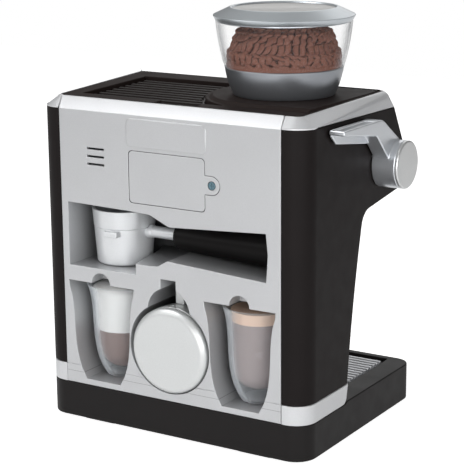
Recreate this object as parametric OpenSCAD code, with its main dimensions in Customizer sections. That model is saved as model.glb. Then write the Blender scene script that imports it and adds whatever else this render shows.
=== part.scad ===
// Toy coffee maker with a storage back: millimetres, +Z up, front towards -Y.
// The origin is the centre of the plinth's underside; the foot pads reach below it.

/* [Body] */
// Overall width over the side walls
body_w = 217; // [210:1:280]
// Depth of the plinth, back to front
body_d = 166; // [164:2:210]
// Radius of the upright back corners
corner_r = 15.5; // [8:0.5:17]
// Distance from the back panel's edge to the side wall
panel_edge = 18.5; // [18:0.5:21]
// Radius of the upright front corners of the plinth
front_r = 12; // [6:1:20]
// Height of the plinth
base_h = 26; // [24:1:36]
// Height of the rim round the drip grille
rim_h = 1.2; // [0.6:0.1:3]
// How far the foot of the plinth's front leans back
base_lean = 4.3; // [0:0.1:8]
// Height from the plinth to the neck, where tower meets head
tower_h = 132.6; // [130:0.2:170]
// Depth of the tower at its foot
tower_d = 59.2; // [59:0.1:70]
// How far the tower leans forward up to the neck
tower_lean = 22.7; // [16:0.1:26]
// Bow of the tower's front line
tower_bow = 2.1; // [0.5:0.1:2.4]
// Depth of the head from the back to the nose
head_d = 160.3; // [156:0.1:161]
// Rise of the head's underside from the neck to the nose
head_rise = 9.9; // [4:0.1:12]
// Height of the head at the back, neck to side wall top
head_h = 69.7; // [69:0.1:84]
// Slope of the front panel, from level
front_angle = 61; // [58:1:66]
// Wall of the plastic mouldings
wall = 2.4; // [1.8:0.1:2.8]
// Height of the silver lower band
band_h = 13.7; // [8:0.1:18]
// Thickness of the lower band
band_t = 1.2; // [0.8:0.1:1.4]

/* [Top] */
// How far the top bevel runs in from the back
bevel_in = 10.6; // [9:0.1:13]
// Height of the bevel at the back
bevel_h = 7; // [5:0.1:9]
// Fall of the side wall tops towards the front, degrees
side_fall = 1.16; // [0:0.02:2]
// Rise of the top cover towards the front, degrees
top_rise = 1.28; // [0:0.02:2]
// Border beside the top cover at the back
cover_in = 9.9; // [9:0.1:12]
// Border beside the top cover at the front
cover_in_front = 5.4; // [5.2:0.1:12]
// Left edge of the cup tray from the centre
tray_left = 86; // [80:1:90]
// Depth of the cup tray, back to front
tray_d = 79; // [60:1:80]
// Border between cup tray and the cover's back edge
tray_back = 12.4; // [12:0.2:18]
// Depth that the cup tray's floor is sunk
tray_sink = 4; // [3:0.5:5]
// Distance from one tray rib to the next
tray_pitch = 8; // [6:0.5:12]
// Width of the finger notch behind the tray
notch_w = 34; // [20:1:40]

/* [Hopper] */
// Hopper centre, to the right of the middle seen from the back
hopper_x = -48.4; // [-50:0.2:-44]
// Hopper centre, from front to back
hopper_y = 6.1; // [2:0.1:8]
// Radius of the bowl where it stands on the cover
bowl_foot_r = 35.4; // [30:0.2:36]
// Radius of the bowl's top edge
bowl_r = 41.4; // [38:0.2:42]
// Height of the bowl
bowl_h = 19.6; // [14:0.2:24]
// Radius of the clear jar at its mouth
jar_r = 47.5; // [44:0.5:48]
// Height of the clear jar
jar_h = 31.5; // [24:0.5:38]
// Wall of the clear jar
jar_wall = 1.4; // [1.2:0.1:2.2]
// Radius of the lid's rim
lid_r = 49.2; // [49:0.1:51]
// Radius of the flat disc on the lid
lid_disc_r = 36; // [28:0.5:38]

/* [Lever] */
// Lever axis, forward of the middle
lever_y = -26.5; // [-30:0.5:-24]
// Lever axis, height above the neck
lever_up = 30.7; // [28:0.1:33]
// Radius of the lever's drum
drum_r = 17; // [14:0.5:18]
// Length of the drum along its axle
drum_l = 20; // [18:0.2:24]
// Width of the lever's arm
arm_w = 11.6; // [10:0.1:14]
// Reach of the arm behind the axis
arm_reach = 80.9; // [66:0.1:82]
// Radius of the lever's axle
axle_r = 4; // [3:0.5:5]

/* [Stored pieces] */
// Depth of the storage pockets
pocket_d = 54.4; // [54:0.1:55]
// Wall of the storage pockets
pocket_wall = 2; // [1.5:0.1:2]
// Cup centres, left and right of the middle
cup_x = 57.5; // [57.5:0.1:59]
// Height of a cup
cup_h = 68.7; // [58:0.5:69]
// Radius of a cup's foot
cup_foot_r = 12.5; // [10:0.5:13]
// Radius of a cup's straight part
cup_r = 21.8; // [18:0.2:22]
// Radius of a cup's rim
cup_rim_r = 25.7; // [22:0.2:26]
// Wall of a cup
cup_wall = 1.6; // [1.2:0.1:2]
// Radius of the jug's foot
jug_r = 31; // [25:0.5:31]
// Length of the jug
jug_h = 56; // [48:0.5:56]
// Height of the jug's axis above the plinth
jug_up = 37; // [36.5:0.5:38]
// Radius of the portafilter's rim
bowl_top_r = 23; // [20:0.2:23.5]
// Height of the portafilter's bowl with its collar
filter_h = 40; // [34:0.5:40.5]
// Centre of the portafilter's bowl, left of the middle
filter_x = 57; // [56.5:0.5:58]
// Length of the portafilter's grip
grip_l = 83.5; // [70:0.5:84]

/* [Front] */
// Radius of the gauge's bezel
gauge_r = 19; // [14:0.5:20]
// Radius of the two dials
dial_r = 15; // [11:0.5:17]
// Dial centres, left and right of the middle
dial_x = 62; // [56:1:70]
// Radius of the push buttons
button_r = 6; // [4:0.5:7]
// Travel of a push button
button_travel = 1.5; // [1:0.1:1.8]
// Brew head centre, left and right of the middle
brew_x = 14; // [8:1:20]
// Grinder chute centre, left and right of the middle
chute_x = -56; // [-64:1:-54]
// Steam wand centre, left and right of the middle
wand_x = 80; // [76:1:86]

/* [Hidden] */
$fn = 64;

// Colours of the mouldings.
black = [0.13, 0.12, 0.12];
silver = [0.78, 0.78, 0.79];
bright = [0.86, 0.86, 0.87];
steel = [0.6, 0.61, 0.63];
clear = [0.85, 0.9, 0.95, 0.4];
brown = [0.36, 0.22, 0.17];
white = [0.95, 0.95, 0.93];

// Clearances: a slip gap between separate mouldings and the gap under a stored piece.
slip = 0.2;
seat = 0.3;
// Radial clearance of a turning shaft in its bore.
run = 0.06;

// Main planes and corners of the body.
rear_y = body_d / 2;
side_x = body_w / 2;
panel_x = side_x - panel_edge;
neck = [rear_y - tower_d - tower_lean, base_h + tower_h];
nose = [rear_y - head_d, neck[1] + head_rise];
neck_r = 13;
nose_r = 5;
side_top = neck[1] + head_h;
plate_y = rear_y - bevel_in;
plate_top = side_top + bevel_h;
side_k = tan(side_fall);
top_k = -tan(top_rise);
front_k = tan(front_angle);

// Height of the side wall tops and of the top cover at a depth y.
function side_z(y) = side_top + side_k * (y - rear_y);
function top_z(y) = plate_top + top_k * (y - plate_y);
// Depth at which a line through (y0, z0) with slope k meets the front slope.
function front_hit(y0, z0, k) = (nose[0] + (z0 - k * y0 - nose[1]) / front_k) / (1 - k / front_k);
side_front_y = front_hit(rear_y, side_top, side_k);
top_front_y = front_hit(plate_y, plate_top, top_k);

// Outline helpers: fillets, offsets and bowed lines as computed points.
function unit(v) = v / norm(v);
function fillet(a, p, b, r, n) =
    r <= 0 ? [p] :
    let (u = unit(a - p), v = unit(b - p), half = acos(max(-1, min(1, u * v))) / 2,
        c = p + unit(u + v) * r / sin(half),
        s = p + u * r / tan(half) - c, e = p + v * r / tan(half) - c, turn = 180 - 2 * half)
    [for (i = [0:n]) c + (s * sin(turn * (1 - i / n)) + e * sin(turn * i / n)) / sin(turn)];
function rounded(pts, r, n = 6) = let (m = len(pts)) [for (i = [0:m - 1])
    each fillet(pts[(i + m - 1) % m], pts[i], pts[(i + 1) % m], is_list(r) ? r[i] : r, n)];
function outward(a, b) = let (d = unit(b - a)) [d[1], -d[0]];
function grow(pts, d) = let (m = len(pts)) [for (i = [0:m - 1])
    let (p = outward(pts[(i + m - 1) % m], pts[i]), q = outward(pts[i], pts[(i + 1) % m]))
    pts[i] + d * (p + q) / (1 + p * q)];
function bow(a, b, sag, n) = let (s = outward(a, b) * sag)
    [for (i = [1:n - 1]) let (t = i / n) a + (b - a) * t + s * 4 * t * (1 - t)];
function mirrored(right) = concat(right,
    [for (i = [len(right) - 1:-1:0]) [-right[i][0], right[i][1]]]);
function box_pts(x0, y0, x1, y1) = [[x0, y0], [x1, y0], [x1, y1], [x0, y1]];

// Extrusions of a (y, z) outline across the body and of an (x, z) outline towards the front.
module along_x(w) {
    rotate([90, 0, 90]) linear_extrude(w, center = true) children();
}
module along_y(back, d) {
    translate([0, back, 0]) rotate([90, 0, 0]) linear_extrude(d) children();
}
module axis_x() {
    rotate([0, 90, 0]) children();
}
// Local frame on the front slope: X across, Y up the slope, Z out of the panel.
module on_front(x, up, out = 0) {
    translate([x, nose[0], nose[1]]) rotate([front_angle, 0, 0]) translate([0, up, out])
        children();
}
module ring(r, bore, h) {
    difference() {
        cylinder(r = r, h = h);
        translate([0, 0, -1]) cylinder(r = bore, h = h + 2);
    }
}
module cross_screw(r, head_h, shank_r, shank_l) {
    difference() {
        union() {
            cylinder(r = r, h = head_h);
            cylinder(r = shank_r, h = head_h + shank_l);
        }
        for (a = [0, 90]) rotate(a)
            translate([-r * 0.6, -r * 0.13, -1]) cube([r * 1.2, r * 0.26, 1 + head_h * 0.6]);
    }
}

// ---------- plinth ----------

function plan(front_y, r) = rounded([[side_x, front_y], [side_x, rear_y], [-side_x, rear_y],
    [-side_x, front_y]], [r, corner_r, corner_r, r], 8);
base_plan = plan(-rear_y, front_r);
grille_gap = slip;
grille_t = 3.6;
grille_x = side_x - 18;
grille_front = -rear_y + 6.5;
grille_back = rear_y - tower_d - 9.8;
well_ledge = 2.5;
well_floor = base_h - 10;
plate_t = 2;
post_r = 4.5;
base_posts = [for (x = [-1, 1], y = [-1, 1]) [x * (side_x - 18), y * (rear_y - 22)]];
base_screw_r = 1.5;
base_screw_l = 8;
base_head_h = 1.2;
base_head_r = 2.8;

rim_back = rear_y - tower_d - 0.6;
rim_z = base_h + rim_h;
module plinth_side(inset) {
    polygon([[rear_y + 1, -1], [rear_y + 1, base_h - inset], [rim_back - inset, base_h - inset],
        [rim_back - inset, rim_z - inset], [-rear_y + inset, rim_z - inset],
        [-rear_y + base_lean * (1 + 1 / rim_z) + inset, -1]]);
}
module base() {
    color(black) difference() {
        union() {
            difference() {
                intersection() {
                    linear_extrude(rim_z) polygon(base_plan);
                    along_x(body_w + 2) plinth_side(0);
                }
                intersection() {
                    translate([0, 0, -1]) linear_extrude(rim_z + 1)
                        polygon(grow(base_plan, -wall));
                    along_x(body_w + 2) plinth_side(wall);
                }
            }
            translate([0, 0, well_floor - wall]) linear_extrude(base_h - well_floor + wall)
                polygon(box_pts(-grille_x - wall, grille_front - wall, grille_x + wall,
                    grille_back + wall));
            for (p = base_posts) translate([p[0], p[1], plate_t])
                cylinder(r = post_r, h = (p[1] < 0 ? well_floor : base_h) - wall - plate_t + 0.5);
        }
        translate([0, 0, base_h - grille_t]) linear_extrude(grille_t + rim_h + 1)
            polygon(box_pts(-grille_x - grille_gap, grille_front - grille_gap,
                grille_x + grille_gap, grille_back + grille_gap));
        translate([0, 0, well_floor]) linear_extrude(base_h)
            polygon(box_pts(-grille_x + well_ledge, grille_front + well_ledge,
                grille_x - well_ledge, grille_back - well_ledge));
        for (p = base_posts) translate([p[0], p[1], 0])
            cylinder(r = base_screw_r + run, h = base_head_h + base_screw_l + 0.5, $fn = 24);
    }
}
module base_plate() {
    color(black) difference() {
        intersection() {
            linear_extrude(plate_t) polygon(grow(base_plan, -wall - slip));
            along_x(body_w) plinth_side(wall + slip);
        }
        for (p = base_posts) translate([p[0], p[1], -1]) {
            cylinder(r = base_head_r + slip, h = 1 + base_head_h, $fn = 32);
            cylinder(r = base_screw_r + run, h = plate_t + 2, $fn = 24);
        }
    }
}
module base_screws() {
    color(steel) for (p = base_posts) translate([p[0], p[1], 0])
        cross_screw(base_head_r, base_head_h, base_screw_r, base_screw_l, $fn = 24);
}
foot_h = 2.5;
foot_l = 34;
foot_w = 12;
foot_x = 66;
foot_y = rear_y - 11;
module feet() {
    color([0.2, 0.2, 0.2]) for (x = [-foot_x, foot_x], y = [-foot_y + base_lean, foot_y])
        translate([x, y, -foot_h]) {
            translate([-(foot_l - foot_w) / 2, -foot_w / 2, 0])
                cube([foot_l - foot_w, foot_w, foot_h]);
            for (s = [-1, 1]) translate([s * (foot_l - foot_w) / 2, 0, 0])
                cylinder(d = foot_w, h = foot_h, $fn = 32);
        }
}
slat_pitch = 5;
slat_w = 2.9;
slat_l = 2 * grille_x - 5;
module drip_grille() {
    span = grille_back - grille_front;
    count = floor((span - 2 * well_ledge) / slat_pitch);
    start = (span - (count - 1) * slat_pitch) / 2;
    color(bright) {
        difference() {
            translate([-grille_x, grille_front, base_h - grille_t])
                cube([2 * grille_x, span, grille_t - 1.4]);
            for (i = [0:count - 2], s = [-1, 1])
                translate([s * slat_l / 4 - slat_l / 4 + 3, grille_front + start
                    + i * slat_pitch + slat_w / 2, base_h - grille_t - 1])
                    cube([slat_l / 2 - 6, slat_pitch - slat_w, grille_t + 2]);
        }
        for (i = [0:count - 1])
            translate([-slat_l / 2, grille_front + start + i * slat_pitch - slat_w / 2,
                base_h - 1.5]) cube([slat_l, slat_w, 1.8]);
    }
}

// ---------- shell ----------

// Side outline of tower and head. The open sides are pushed out by e.
function body_side(e = 0, r_nose = nose_r) =
    let (foot = [rear_y - tower_d, base_h], fall = head_rise / (neck[0] - nose[0]))
    concat(rounded([[rear_y + e, base_h - e], [rear_y + e, side_top + e],
        [side_front_y - e, side_z(side_front_y) + e], [nose[0] - e, nose[1] + e * fall],
        neck, foot - [0, e]], [0, 0, 0, r_nose, neck_r, 0]));
// The same outline with the tower's front line bowed.
function bowed_side(e = 0, r_nose = nose_r) =
    let (pts = body_side(e, r_nose), m = len(pts))
    concat([for (i = [0:m - 2]) pts[i]], bow(pts[m - 2], pts[m - 1], -tower_bow, 7),
        [pts[m - 1]]);
body_plan = plan(-rear_y - 20, 1);
// Point on the front slope: up along it and out from it.
function on_slope(up, out) = nose + up * [cos(front_angle), sin(front_angle)]
    + out * [-sin(front_angle), cos(front_angle)];
sill_up = 5.4;
sill_t = 4;
// Inner outline, with a sill kept under the front panel.
function shell_inside() = let (pts = grow(bowed_side(wall + 1, 0), -wall),
    sill = on_slope(sill_up, -sill_t), k = head_rise / (neck[0] - nose[0]))
    [for (i = [0:len(pts) - 1]) each i == 3 ? [on_slope(sill_up, wall + 1), sill,
        [sill[0], nose[1] - k * (sill[0] - nose[0]) + wall * sqrt(1 + k * k)]] : [pts[i]]];
brew_y = nose[0] + 38;
brew_r = 30;
chute_r = 25;
wand_r = 9;
lever_z = neck[1] + lever_up;
boss_r = 9;
boss_l = 6;

module lever_bore() {
    translate([-side_x - 1, lever_y, lever_z]) axis_x()
        cylinder(r = axle_r + run, h = wall + boss_l + 2);
}
module body_shell() {
    color(black) difference() {
        union() {
            difference() {
                intersection() {
                    along_x(body_w) polygon(bowed_side());
                    linear_extrude(side_top + 5) polygon(body_plan);
                }
                intersection() {
                    along_x(body_w - 2 * wall) polygon(shell_inside());
                    linear_extrude(side_top + 9) union() {
                        polygon(grow(body_plan, -wall));
                        polygon(box_pts(-panel_x, 0, panel_x, rear_y + 1));
                    }
                }
            }
            translate([-side_x + wall - 0.5, lever_y, lever_z]) axis_x()
                cylinder(r = boss_r, h = boss_l + 0.5);
        }
        lever_bore();
        band_zone(slip);
        for (p = [[brew_x, brew_r], [chute_x, chute_r], [wand_x, wand_r]])
            translate([p[0], brew_y, nose[1] - 30]) cylinder(r = p[1] + slip, h = 60);
    }
}
// The space of the lower bands, larger by a gap at its top and inner faces.
module band_zone(gap) {
    translate([0, 0, base_h - gap]) linear_extrude(band_h + 2 * gap) difference() {
        polygon(grow(body_plan, gap));
        polygon(grow(body_plan, -band_t - gap / 2));
    }
}
module lower_bands() {
    foot_y = rear_y - tower_d;
    color(bright) difference() {
        translate([0, 0, base_h]) linear_extrude(band_h) difference() {
            polygon(body_plan);
            polygon(grow(body_plan, -band_t));
            polygon(box_pts(-panel_x - slip, 0, panel_x + slip, rear_y + 1));
        }
        along_x(body_w + 2) polygon(concat([[foot_y - 200, base_h - 1], [foot_y + 5, base_h - 1],
            [foot_y + 5, base_h]], fillet([foot_y + 9, base_h], [foot_y, base_h], [foot_y - 1.5,
            base_h + 9], 5, 6), [[foot_y - 2.9, base_h + band_h + 1],
            [foot_y - 200, base_h + band_h + 1]]));
    }
}

// ---------- back panel and pockets ----------

panel_bottom = base_h + slip;
panel_bend = side_top - 0.5;
strip_h = panel_bend - wall - panel_bottom - 4;
// The two seams of the top bevel lean the same way.
seam_left = 5.6;
seam_right = -3.6;
module panel_face(gap) {
    polygon([[-panel_x - gap, panel_bottom - gap], [panel_x + gap, panel_bottom - gap],
        [panel_x + gap, panel_bend], [panel_x + seam_left + gap, plate_top + 1],
        [-panel_x - seam_right - gap, plate_top + 1], [-panel_x - gap, panel_bend]]);
}
// Cup wall at a share t of its height: a round foot, a straight part and a flared rim.
function cup_side_r(t) = cup_foot_r + (cup_r - cup_foot_r) * (1 - pow(1 - t, 5))
    + (cup_rim_r - cup_r) * pow(t, 7);
cup_z = base_h + 4.8;
cup_y = rear_y - cup_rim_r - 0.6;
cup_gap = 2.3;
cup_steps = 10;
cup_pocket_top = cup_z + cup_h + 4;
finger_r = 8;
finger_d = 14;
cup_pocket = let (side = [for (i = [0:cup_steps])
        [cup_side_r(i / cup_steps) + cup_gap, cup_z - seat + (cup_h + seat) * i / cup_steps]])
    mirrored(concat(side, [[cup_rim_r + cup_gap + 0.3, cup_pocket_top]]));

jug_z = base_h + jug_up;
jug_pocket_r = jug_r + 2;
jug_pocket_z = jug_z + jug_pocket_r - jug_r - seat;
lobe_r = 17.5;
lobe_up = 28;
jug_slot_w = 12.6;
jug_slot_up = 51.5;

filter_z = base_h + 89;
filter_y = rear_y - 30;
filter_axis_z = filter_z + 24;
filter_foot_r = bowl_top_r - 3;
grip_x = filter_x - bowl_top_r - 24.5;
grip_end_x = grip_x - grip_l;
bay_x = [filter_x - 30.3, filter_x + bowl_top_r + 4.5];
bay_floor = filter_z - seat;
bay_top = filter_z + filter_h + 6;
bay_mid = filter_x - bowl_top_r - 17.5;
bay_d = 56;
// Grip bay: from the bay's far end along the raised floor to the grip's end and back.
grip_bay = rounded([[bay_x[1], bay_floor + 7.5], [bay_x[1], bay_top],
    [bay_x[0] + 6, bay_top - 1], [bay_mid - 2, bay_top - 1.8], [bay_mid - 18, bay_top - 8.8],
    [grip_end_x - 4.5, bay_top - 4], [grip_end_x - 6, filter_axis_z + 3.5],
    [grip_end_x - 4.7, filter_axis_z - 15.6], [bay_mid - 15.8, filter_axis_z - 11.2],
    [bay_mid - 8, filter_axis_z - 15.8], [bay_mid - 2, filter_axis_z - 16.4]],
    [0, 0.5, 0, 8, 7, 0.5, 0, 0.5, 3, 3, 0]);
bay_plan = [[bay_x[0], rear_y + 1], [bay_x[0] + 3.6, rear_y - 14], [bay_x[0] + 7.8, rear_y - 38],
    [bay_x[0] + 14, rear_y - bay_d], [bay_x[1], rear_y - bay_d], [bay_x[1], rear_y + 1]];

module cup_pockets(g) {
    for (x = [-cup_x, cup_x]) translate([x, 0, 0]) {
        along_y(rear_y + 1, pocket_d + 1 + g) polygon(g > 0 ? grow(cup_pocket, g) : cup_pocket);
        along_y(rear_y + 1, finger_d + 1 + g) translate([0, cup_pocket_top])
            circle(r = finger_r + g, $fn = 40);
    }
}
module jug_pocket(g) {
    along_y(rear_y + 1, pocket_d + 1 + g) translate([0, jug_pocket_z])
        circle(r = jug_pocket_r + g, $fn = 96);
    along_y(rear_y + 1, pocket_d + 1 + g) translate([0, jug_z + lobe_up])
        circle(r = lobe_r + g);
    along_y(rear_y + 1, pocket_d + 1 + g) polygon(box_pts(-jug_slot_w / 2 - g, jug_z,
        jug_slot_w / 2 + g, jug_z + jug_slot_up + g));
}
module filter_pocket(g) {
    along_y(rear_y + 1, bay_d + 1 + g) polygon(g > 0 ? grow(grip_bay, g) : grip_bay);
    translate([0, 0, bay_floor - g]) linear_extrude(bay_top - bay_floor - 2 + g)
        polygon(g > 0 ? grow(bay_plan, g) : bay_plan);
}

door_w = 62;
door_h = 36.5;
door_z = neck[1] + 25.9;
door_t = 2;
door_gap = 0.35;
tab_x = -door_w / 2 - 5.5;
tab_r = 6.4;
tab_z = door_z + 0.4;
speaker_x = 59.2;
speaker_z = neck[1] + 37;
slot_l = 14.7;
slot_h = 1.6;
slot_pitch = 5.5;
plaque_w = 64.6;
plaque_h = 19.4;
plaque_z = neck[1] + 56.9;

module door_outline(g) {
    polygon(rounded(box_pts(-door_w / 2 - g, door_z - door_h / 2 - g, door_w / 2 + g,
        door_z + door_h / 2 + g), 3, 4));
    translate([tab_x, tab_z - tab_r - g]) square([-door_w / 2 - tab_x + 1, 2 * (tab_r + g)]);
    translate([tab_x, tab_z]) circle(r = tab_r + g, $fn = 40);
}
module rear_panel() {
    color(silver) difference() {
        union() {
            intersection() {
                along_x(body_w) polygon([[rear_y, panel_bottom], [rear_y, panel_bend],
                    [plate_y, plate_top], [plate_y, plate_top - wall],
                    [rear_y - wall, panel_bend - wall], [rear_y - wall, panel_bottom]]);
                along_y(rear_y + 1, bevel_in + 2) panel_face(-slip);
            }
            // Strips that hook behind the shell's back corners.
            for (s = [-1, 1]) translate([s * (panel_x - 3.1), rear_y - 2 * wall,
                panel_bottom]) {
                translate([-2.9, 0, 0]) cube([5.8, wall + 0.1, strip_h]);
                translate([s * 1.85 - 4.75, 0, 0]) cube([9.5, wall - slip, strip_h]);
            }
            cup_pockets(pocket_wall);
            jug_pocket(pocket_wall);
            filter_pocket(pocket_wall);
            along_y(rear_y + 0.6, 1) polygon(rounded(box_pts(-plaque_w / 2,
                plaque_z - plaque_h / 2, plaque_w / 2, plaque_z + plaque_h / 2), 3.5, 4));
            along_y(rear_y + 0.5, 1) translate([tab_x, tab_z]) circle(r = tab_r + 2.2);
        }
        translate([-body_w, rear_y, 0]) cube([2 * body_w, 5, plaque_z - plaque_h]);
        translate([-panel_x, rear_y + 0.6, 0]) cube([2 * panel_x, 5, plate_top]);
        cup_pockets(0);
        jug_pocket(0);
        filter_pocket(0);
        along_y(rear_y + 1, wall + 2) door_outline(door_gap);
        for (i = [-1:1]) along_y(rear_y + 1, wall + 2)
            translate([speaker_x - slot_l / 2, speaker_z - slot_h / 2 + i * slot_pitch])
                square([slot_l, slot_h]);
        translate([-panel_x, rear_y - 0.4, base_h + band_h]) cube([2 * panel_x, 2, 0.5]);
    }
}

// ---------- top ----------

cover_gap = slip;
cover_back = plate_y - cover_gap;
// Half width of the cover at a depth y; it widens towards the front.
function cover_edge(y, g) = side_x - cover_in + g
    + (cover_in - cover_in_front) * (plate_y - y) / (plate_y - top_front_y);
function cover_plan(front, back, g) = rounded([[cover_edge(front, g), front],
    [cover_edge(back, g), back], [-cover_edge(back, g), back],
    [-cover_edge(front, g), front]], [0, 4.5, 4.5, 0], 5);
cover_front = top_front_y - 0.6;
skirt_front = cover_front + 3.2;
skirt_drop = 10;

shoulder_r = 5;
shoulder_y = front_hit(plate_y, plate_top - shoulder_r, top_k) + shoulder_r / sin(front_angle);
module side_trims() {
    color(bright) difference() {
        hull() {
            multmatrix([[1, 0, 0, 0], [0, 1, 0, 0], [0, side_k, 1, side_top - side_k * rear_y]])
                linear_extrude(0.01) polygon(plan(side_front_y, 1));
            multmatrix([[1, 0, 0, 0], [0, 1, 0, 0], [0, top_k, 1, plate_top - top_k * plate_y]])
                linear_extrude(0.01) polygon(cover_plan(top_front_y, plate_y, 0));
            for (s = [-1, 1]) translate([s * (side_x - shoulder_r - 0.2), shoulder_y,
                top_z(shoulder_y) - shoulder_r]) sphere(r = shoulder_r, $fn = 32);
        }
        translate([0, 0, side_top - 20]) linear_extrude(60)
            polygon(cover_plan(side_front_y - 5, plate_y, 0.01));
        along_y(rear_y + 1, bevel_in + 1) panel_face(slip);
    }
}
module slope_plate(x0, x1, y0, y1, low, high) {
    translate([(x0 + x1) / 2, 0, 0]) along_x(x1 - x0)
        polygon([[y0, top_z(y0) + low], [y1, top_z(y1) + low], [y1, top_z(y1) + high],
            [y0, top_z(y0) + high]]);
}
tray_y = [plate_y - tray_back - tray_d, plate_y - tray_back];
tray_x = [hopper_x + 18, tray_left];
notch_x = 1;
platform_r = 50;
platform_ramp = 4;
platform_z = top_z(hopper_y) + 1.1;
tray_ring_r = platform_r + platform_ramp + 1;
tray_floor = tray_sink + 2;
// Round on the side of the tray, straight towards the lever's side.
function platform_plan(r) = concat([for (a = [-90:7.5:90]) r * [cos(a), sin(a)]],
    [[-70, r], [-70, -r]]);

// Cup tray outline grown by g: a rectangle cut by the ring round the hopper.
module tray_zone(g, low, high) {
    difference() {
        slope_plate(tray_x[0] - g, tray_x[1] + g, tray_y[0] - g, tray_y[1] + g, low, high);
        translate([hopper_x, hopper_y, plate_top - 40]) cylinder(r = tray_ring_r - g, h = 80,
            $fn = 96);
    }
}
module notch_zone(g, low, high) {
    slope_plate(notch_x - notch_w / 2 - g, notch_x + notch_w / 2 + g, tray_y[1] - 4,
        plate_y - 2.4 + g, low, high);
}
module cover_slab(front, g, low, high) {
    intersection() {
        slope_plate(-side_x, side_x, front - 5, plate_y + 5, low, high);
        translate([0, 0, side_top - 30]) linear_extrude(60)
            polygon(cover_plan(front, cover_back + g, g - cover_gap));
    }
}
module top_cover() {
    color(black) difference() {
        union() {
            difference() {
                union() {
                    cover_slab(cover_front, 0, -wall, 0);
                    cover_slab(skirt_front, 0, -skirt_drop, -1);
                    // Flange under the side trims.
                    intersection() {
                        along_x(body_w) polygon([[skirt_front, side_z(skirt_front) - 2],
                            [cover_back, side_z(cover_back) - 2], [cover_back, side_z(cover_back)],
                            [skirt_front, side_z(skirt_front)]]);
                        translate([0, 0, side_top - 20]) linear_extrude(30)
                            polygon(grow(body_plan, -wall - slip));
                    }
                }
                cover_slab(skirt_front + wall, -wall, -skirt_drop - 9, -wall);
            }
            tray_zone(2, -tray_floor - 2, -1);
            notch_zone(2, -tray_floor - 2, -1);
            intersection() {
                hull() {
                    translate([hopper_x, hopper_y, platform_z - 4]) linear_extrude(0.01)
                        polygon(platform_plan(platform_r + platform_ramp * 4 / 3));
                    translate([hopper_x, hopper_y, platform_z - 0.01]) linear_extrude(0.01)
                        polygon(platform_plan(platform_r));
                }
                slope_plate(-side_x, side_x, cover_front, cover_back, -1, 9);
                translate([0, 0, plate_top - 3]) linear_extrude(20)
                    polygon(cover_plan(cover_front + 1.5, cover_back - 2, -2));
            }
        }
        tray_zone(0, -tray_floor, 9);
        notch_zone(0, -tray_floor, 9);
    }
}
module cup_tray() {
    ribs = floor(tray_d / tray_pitch);
    rib_w = 2.6;
    color([0.16, 0.15, 0.14]) {
        tray_zone(-seat, -tray_floor, -tray_sink);
        intersection() {
            tray_zone(-seat - 2, -tray_floor, -tray_sink + 1.8);
            for (i = [0:ribs - 1])
                slope_plate(tray_x[0], tray_x[1], tray_y[0] + 4 + i * tray_pitch,
                    tray_y[0] + 4 + i * tray_pitch + rib_w, -tray_floor, 0);
        }
    }
}

// ---------- hopper ----------

bowl_wall = 2;
jar_z = platform_z + bowl_h;
lid_z = jar_z + jar_h;
jar_foot_r = bowl_r + 0.4;
grounds_foot_r = jar_foot_r - jar_wall - slip;
module at_hopper() {
    translate([hopper_x, hopper_y, 0]) children();
}
module hopper_bowl() {
    foot = [bowl_foot_r, platform_z];
    top = [bowl_r, jar_z];
    color(steel) at_hopper() rotate_extrude($fn = 96)
        polygon(concat([[0, platform_z], foot], bow(foot, top, 0.9, 8), [top,
            top - [bowl_wall, 0]], bow(top - [bowl_wall, 0], foot + [-bowl_wall, bowl_wall],
            -0.9, 8), [foot + [-bowl_wall, bowl_wall], [0, platform_z + bowl_wall]]));
}
module hopper_jar() {
    foot = [jar_foot_r, jar_z];
    top = [jar_r, lid_z];
    color(clear) at_hopper() rotate_extrude($fn = 96)
        polygon(concat([[jar_foot_r - jar_wall, jar_z], foot], bow(foot, top, 0.7, 6),
            [top, top - [jar_wall, 0]], bow(top - [jar_wall, 0], foot - [jar_wall, 0], -0.7, 6)));
}
// A smooth ring at the foot, then three tiers that each step in.
grounds_r = grounds_foot_r + 0.6;
grounds_side = [[0, 0], [grounds_foot_r, 0], [grounds_foot_r, 2], [grounds_foot_r - 0.8, 2.6],
    [grounds_r, 4.4], [grounds_r, 8.6], [grounds_r - 0.9, 10.4], [grounds_r - 1.2, 13.2],
    [grounds_r - 1.9, 16], [grounds_r - 3, 20.2], [grounds_r - 4.2, 23], [grounds_r - 6, 26.6],
    [grounds_r - 9.5, 28.8], [grounds_r - 16, 30], [0, 30.6]];
module coffee_grounds() {
    color(brown) at_hopper() rotate_extrude($fn = 72)
        polygon([for (p = grounds_side) [p[0], jar_z + p[1]]]);
}
module hopper_lid() {
    skirt = 3;
    disc_h = 6.4;
    plug_r = jar_r - jar_wall - 0.5;
    rim_z = lid_z + 3;
    color(bright) at_hopper() rotate_extrude($fn = 96)
        polygon([[0, lid_z + 1.5], [plug_r - 1.6, lid_z + 1.5], [plug_r - 1.6, lid_z - 3],
            [plug_r, lid_z - 3], [plug_r, lid_z + 0.2], [jar_r + 0.3, lid_z + 0.2],
            [jar_r + 0.3, lid_z - skirt + 1], [lid_r - 0.5, lid_z - skirt + 1.4],
            [lid_r, rim_z - 0.6], [lid_r - 0.6, rim_z + 0.4], [lid_disc_r + 2.4, lid_z + disc_h + 2.6],
            [lid_disc_r + 1, lid_z + disc_h + 3], [lid_disc_r, lid_z + disc_h + 2.6],
            [lid_disc_r - 0.6, lid_z + disc_h + 1.6], [0, lid_z + disc_h + 1.6]]);
}

// ---------- lever ----------

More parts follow.
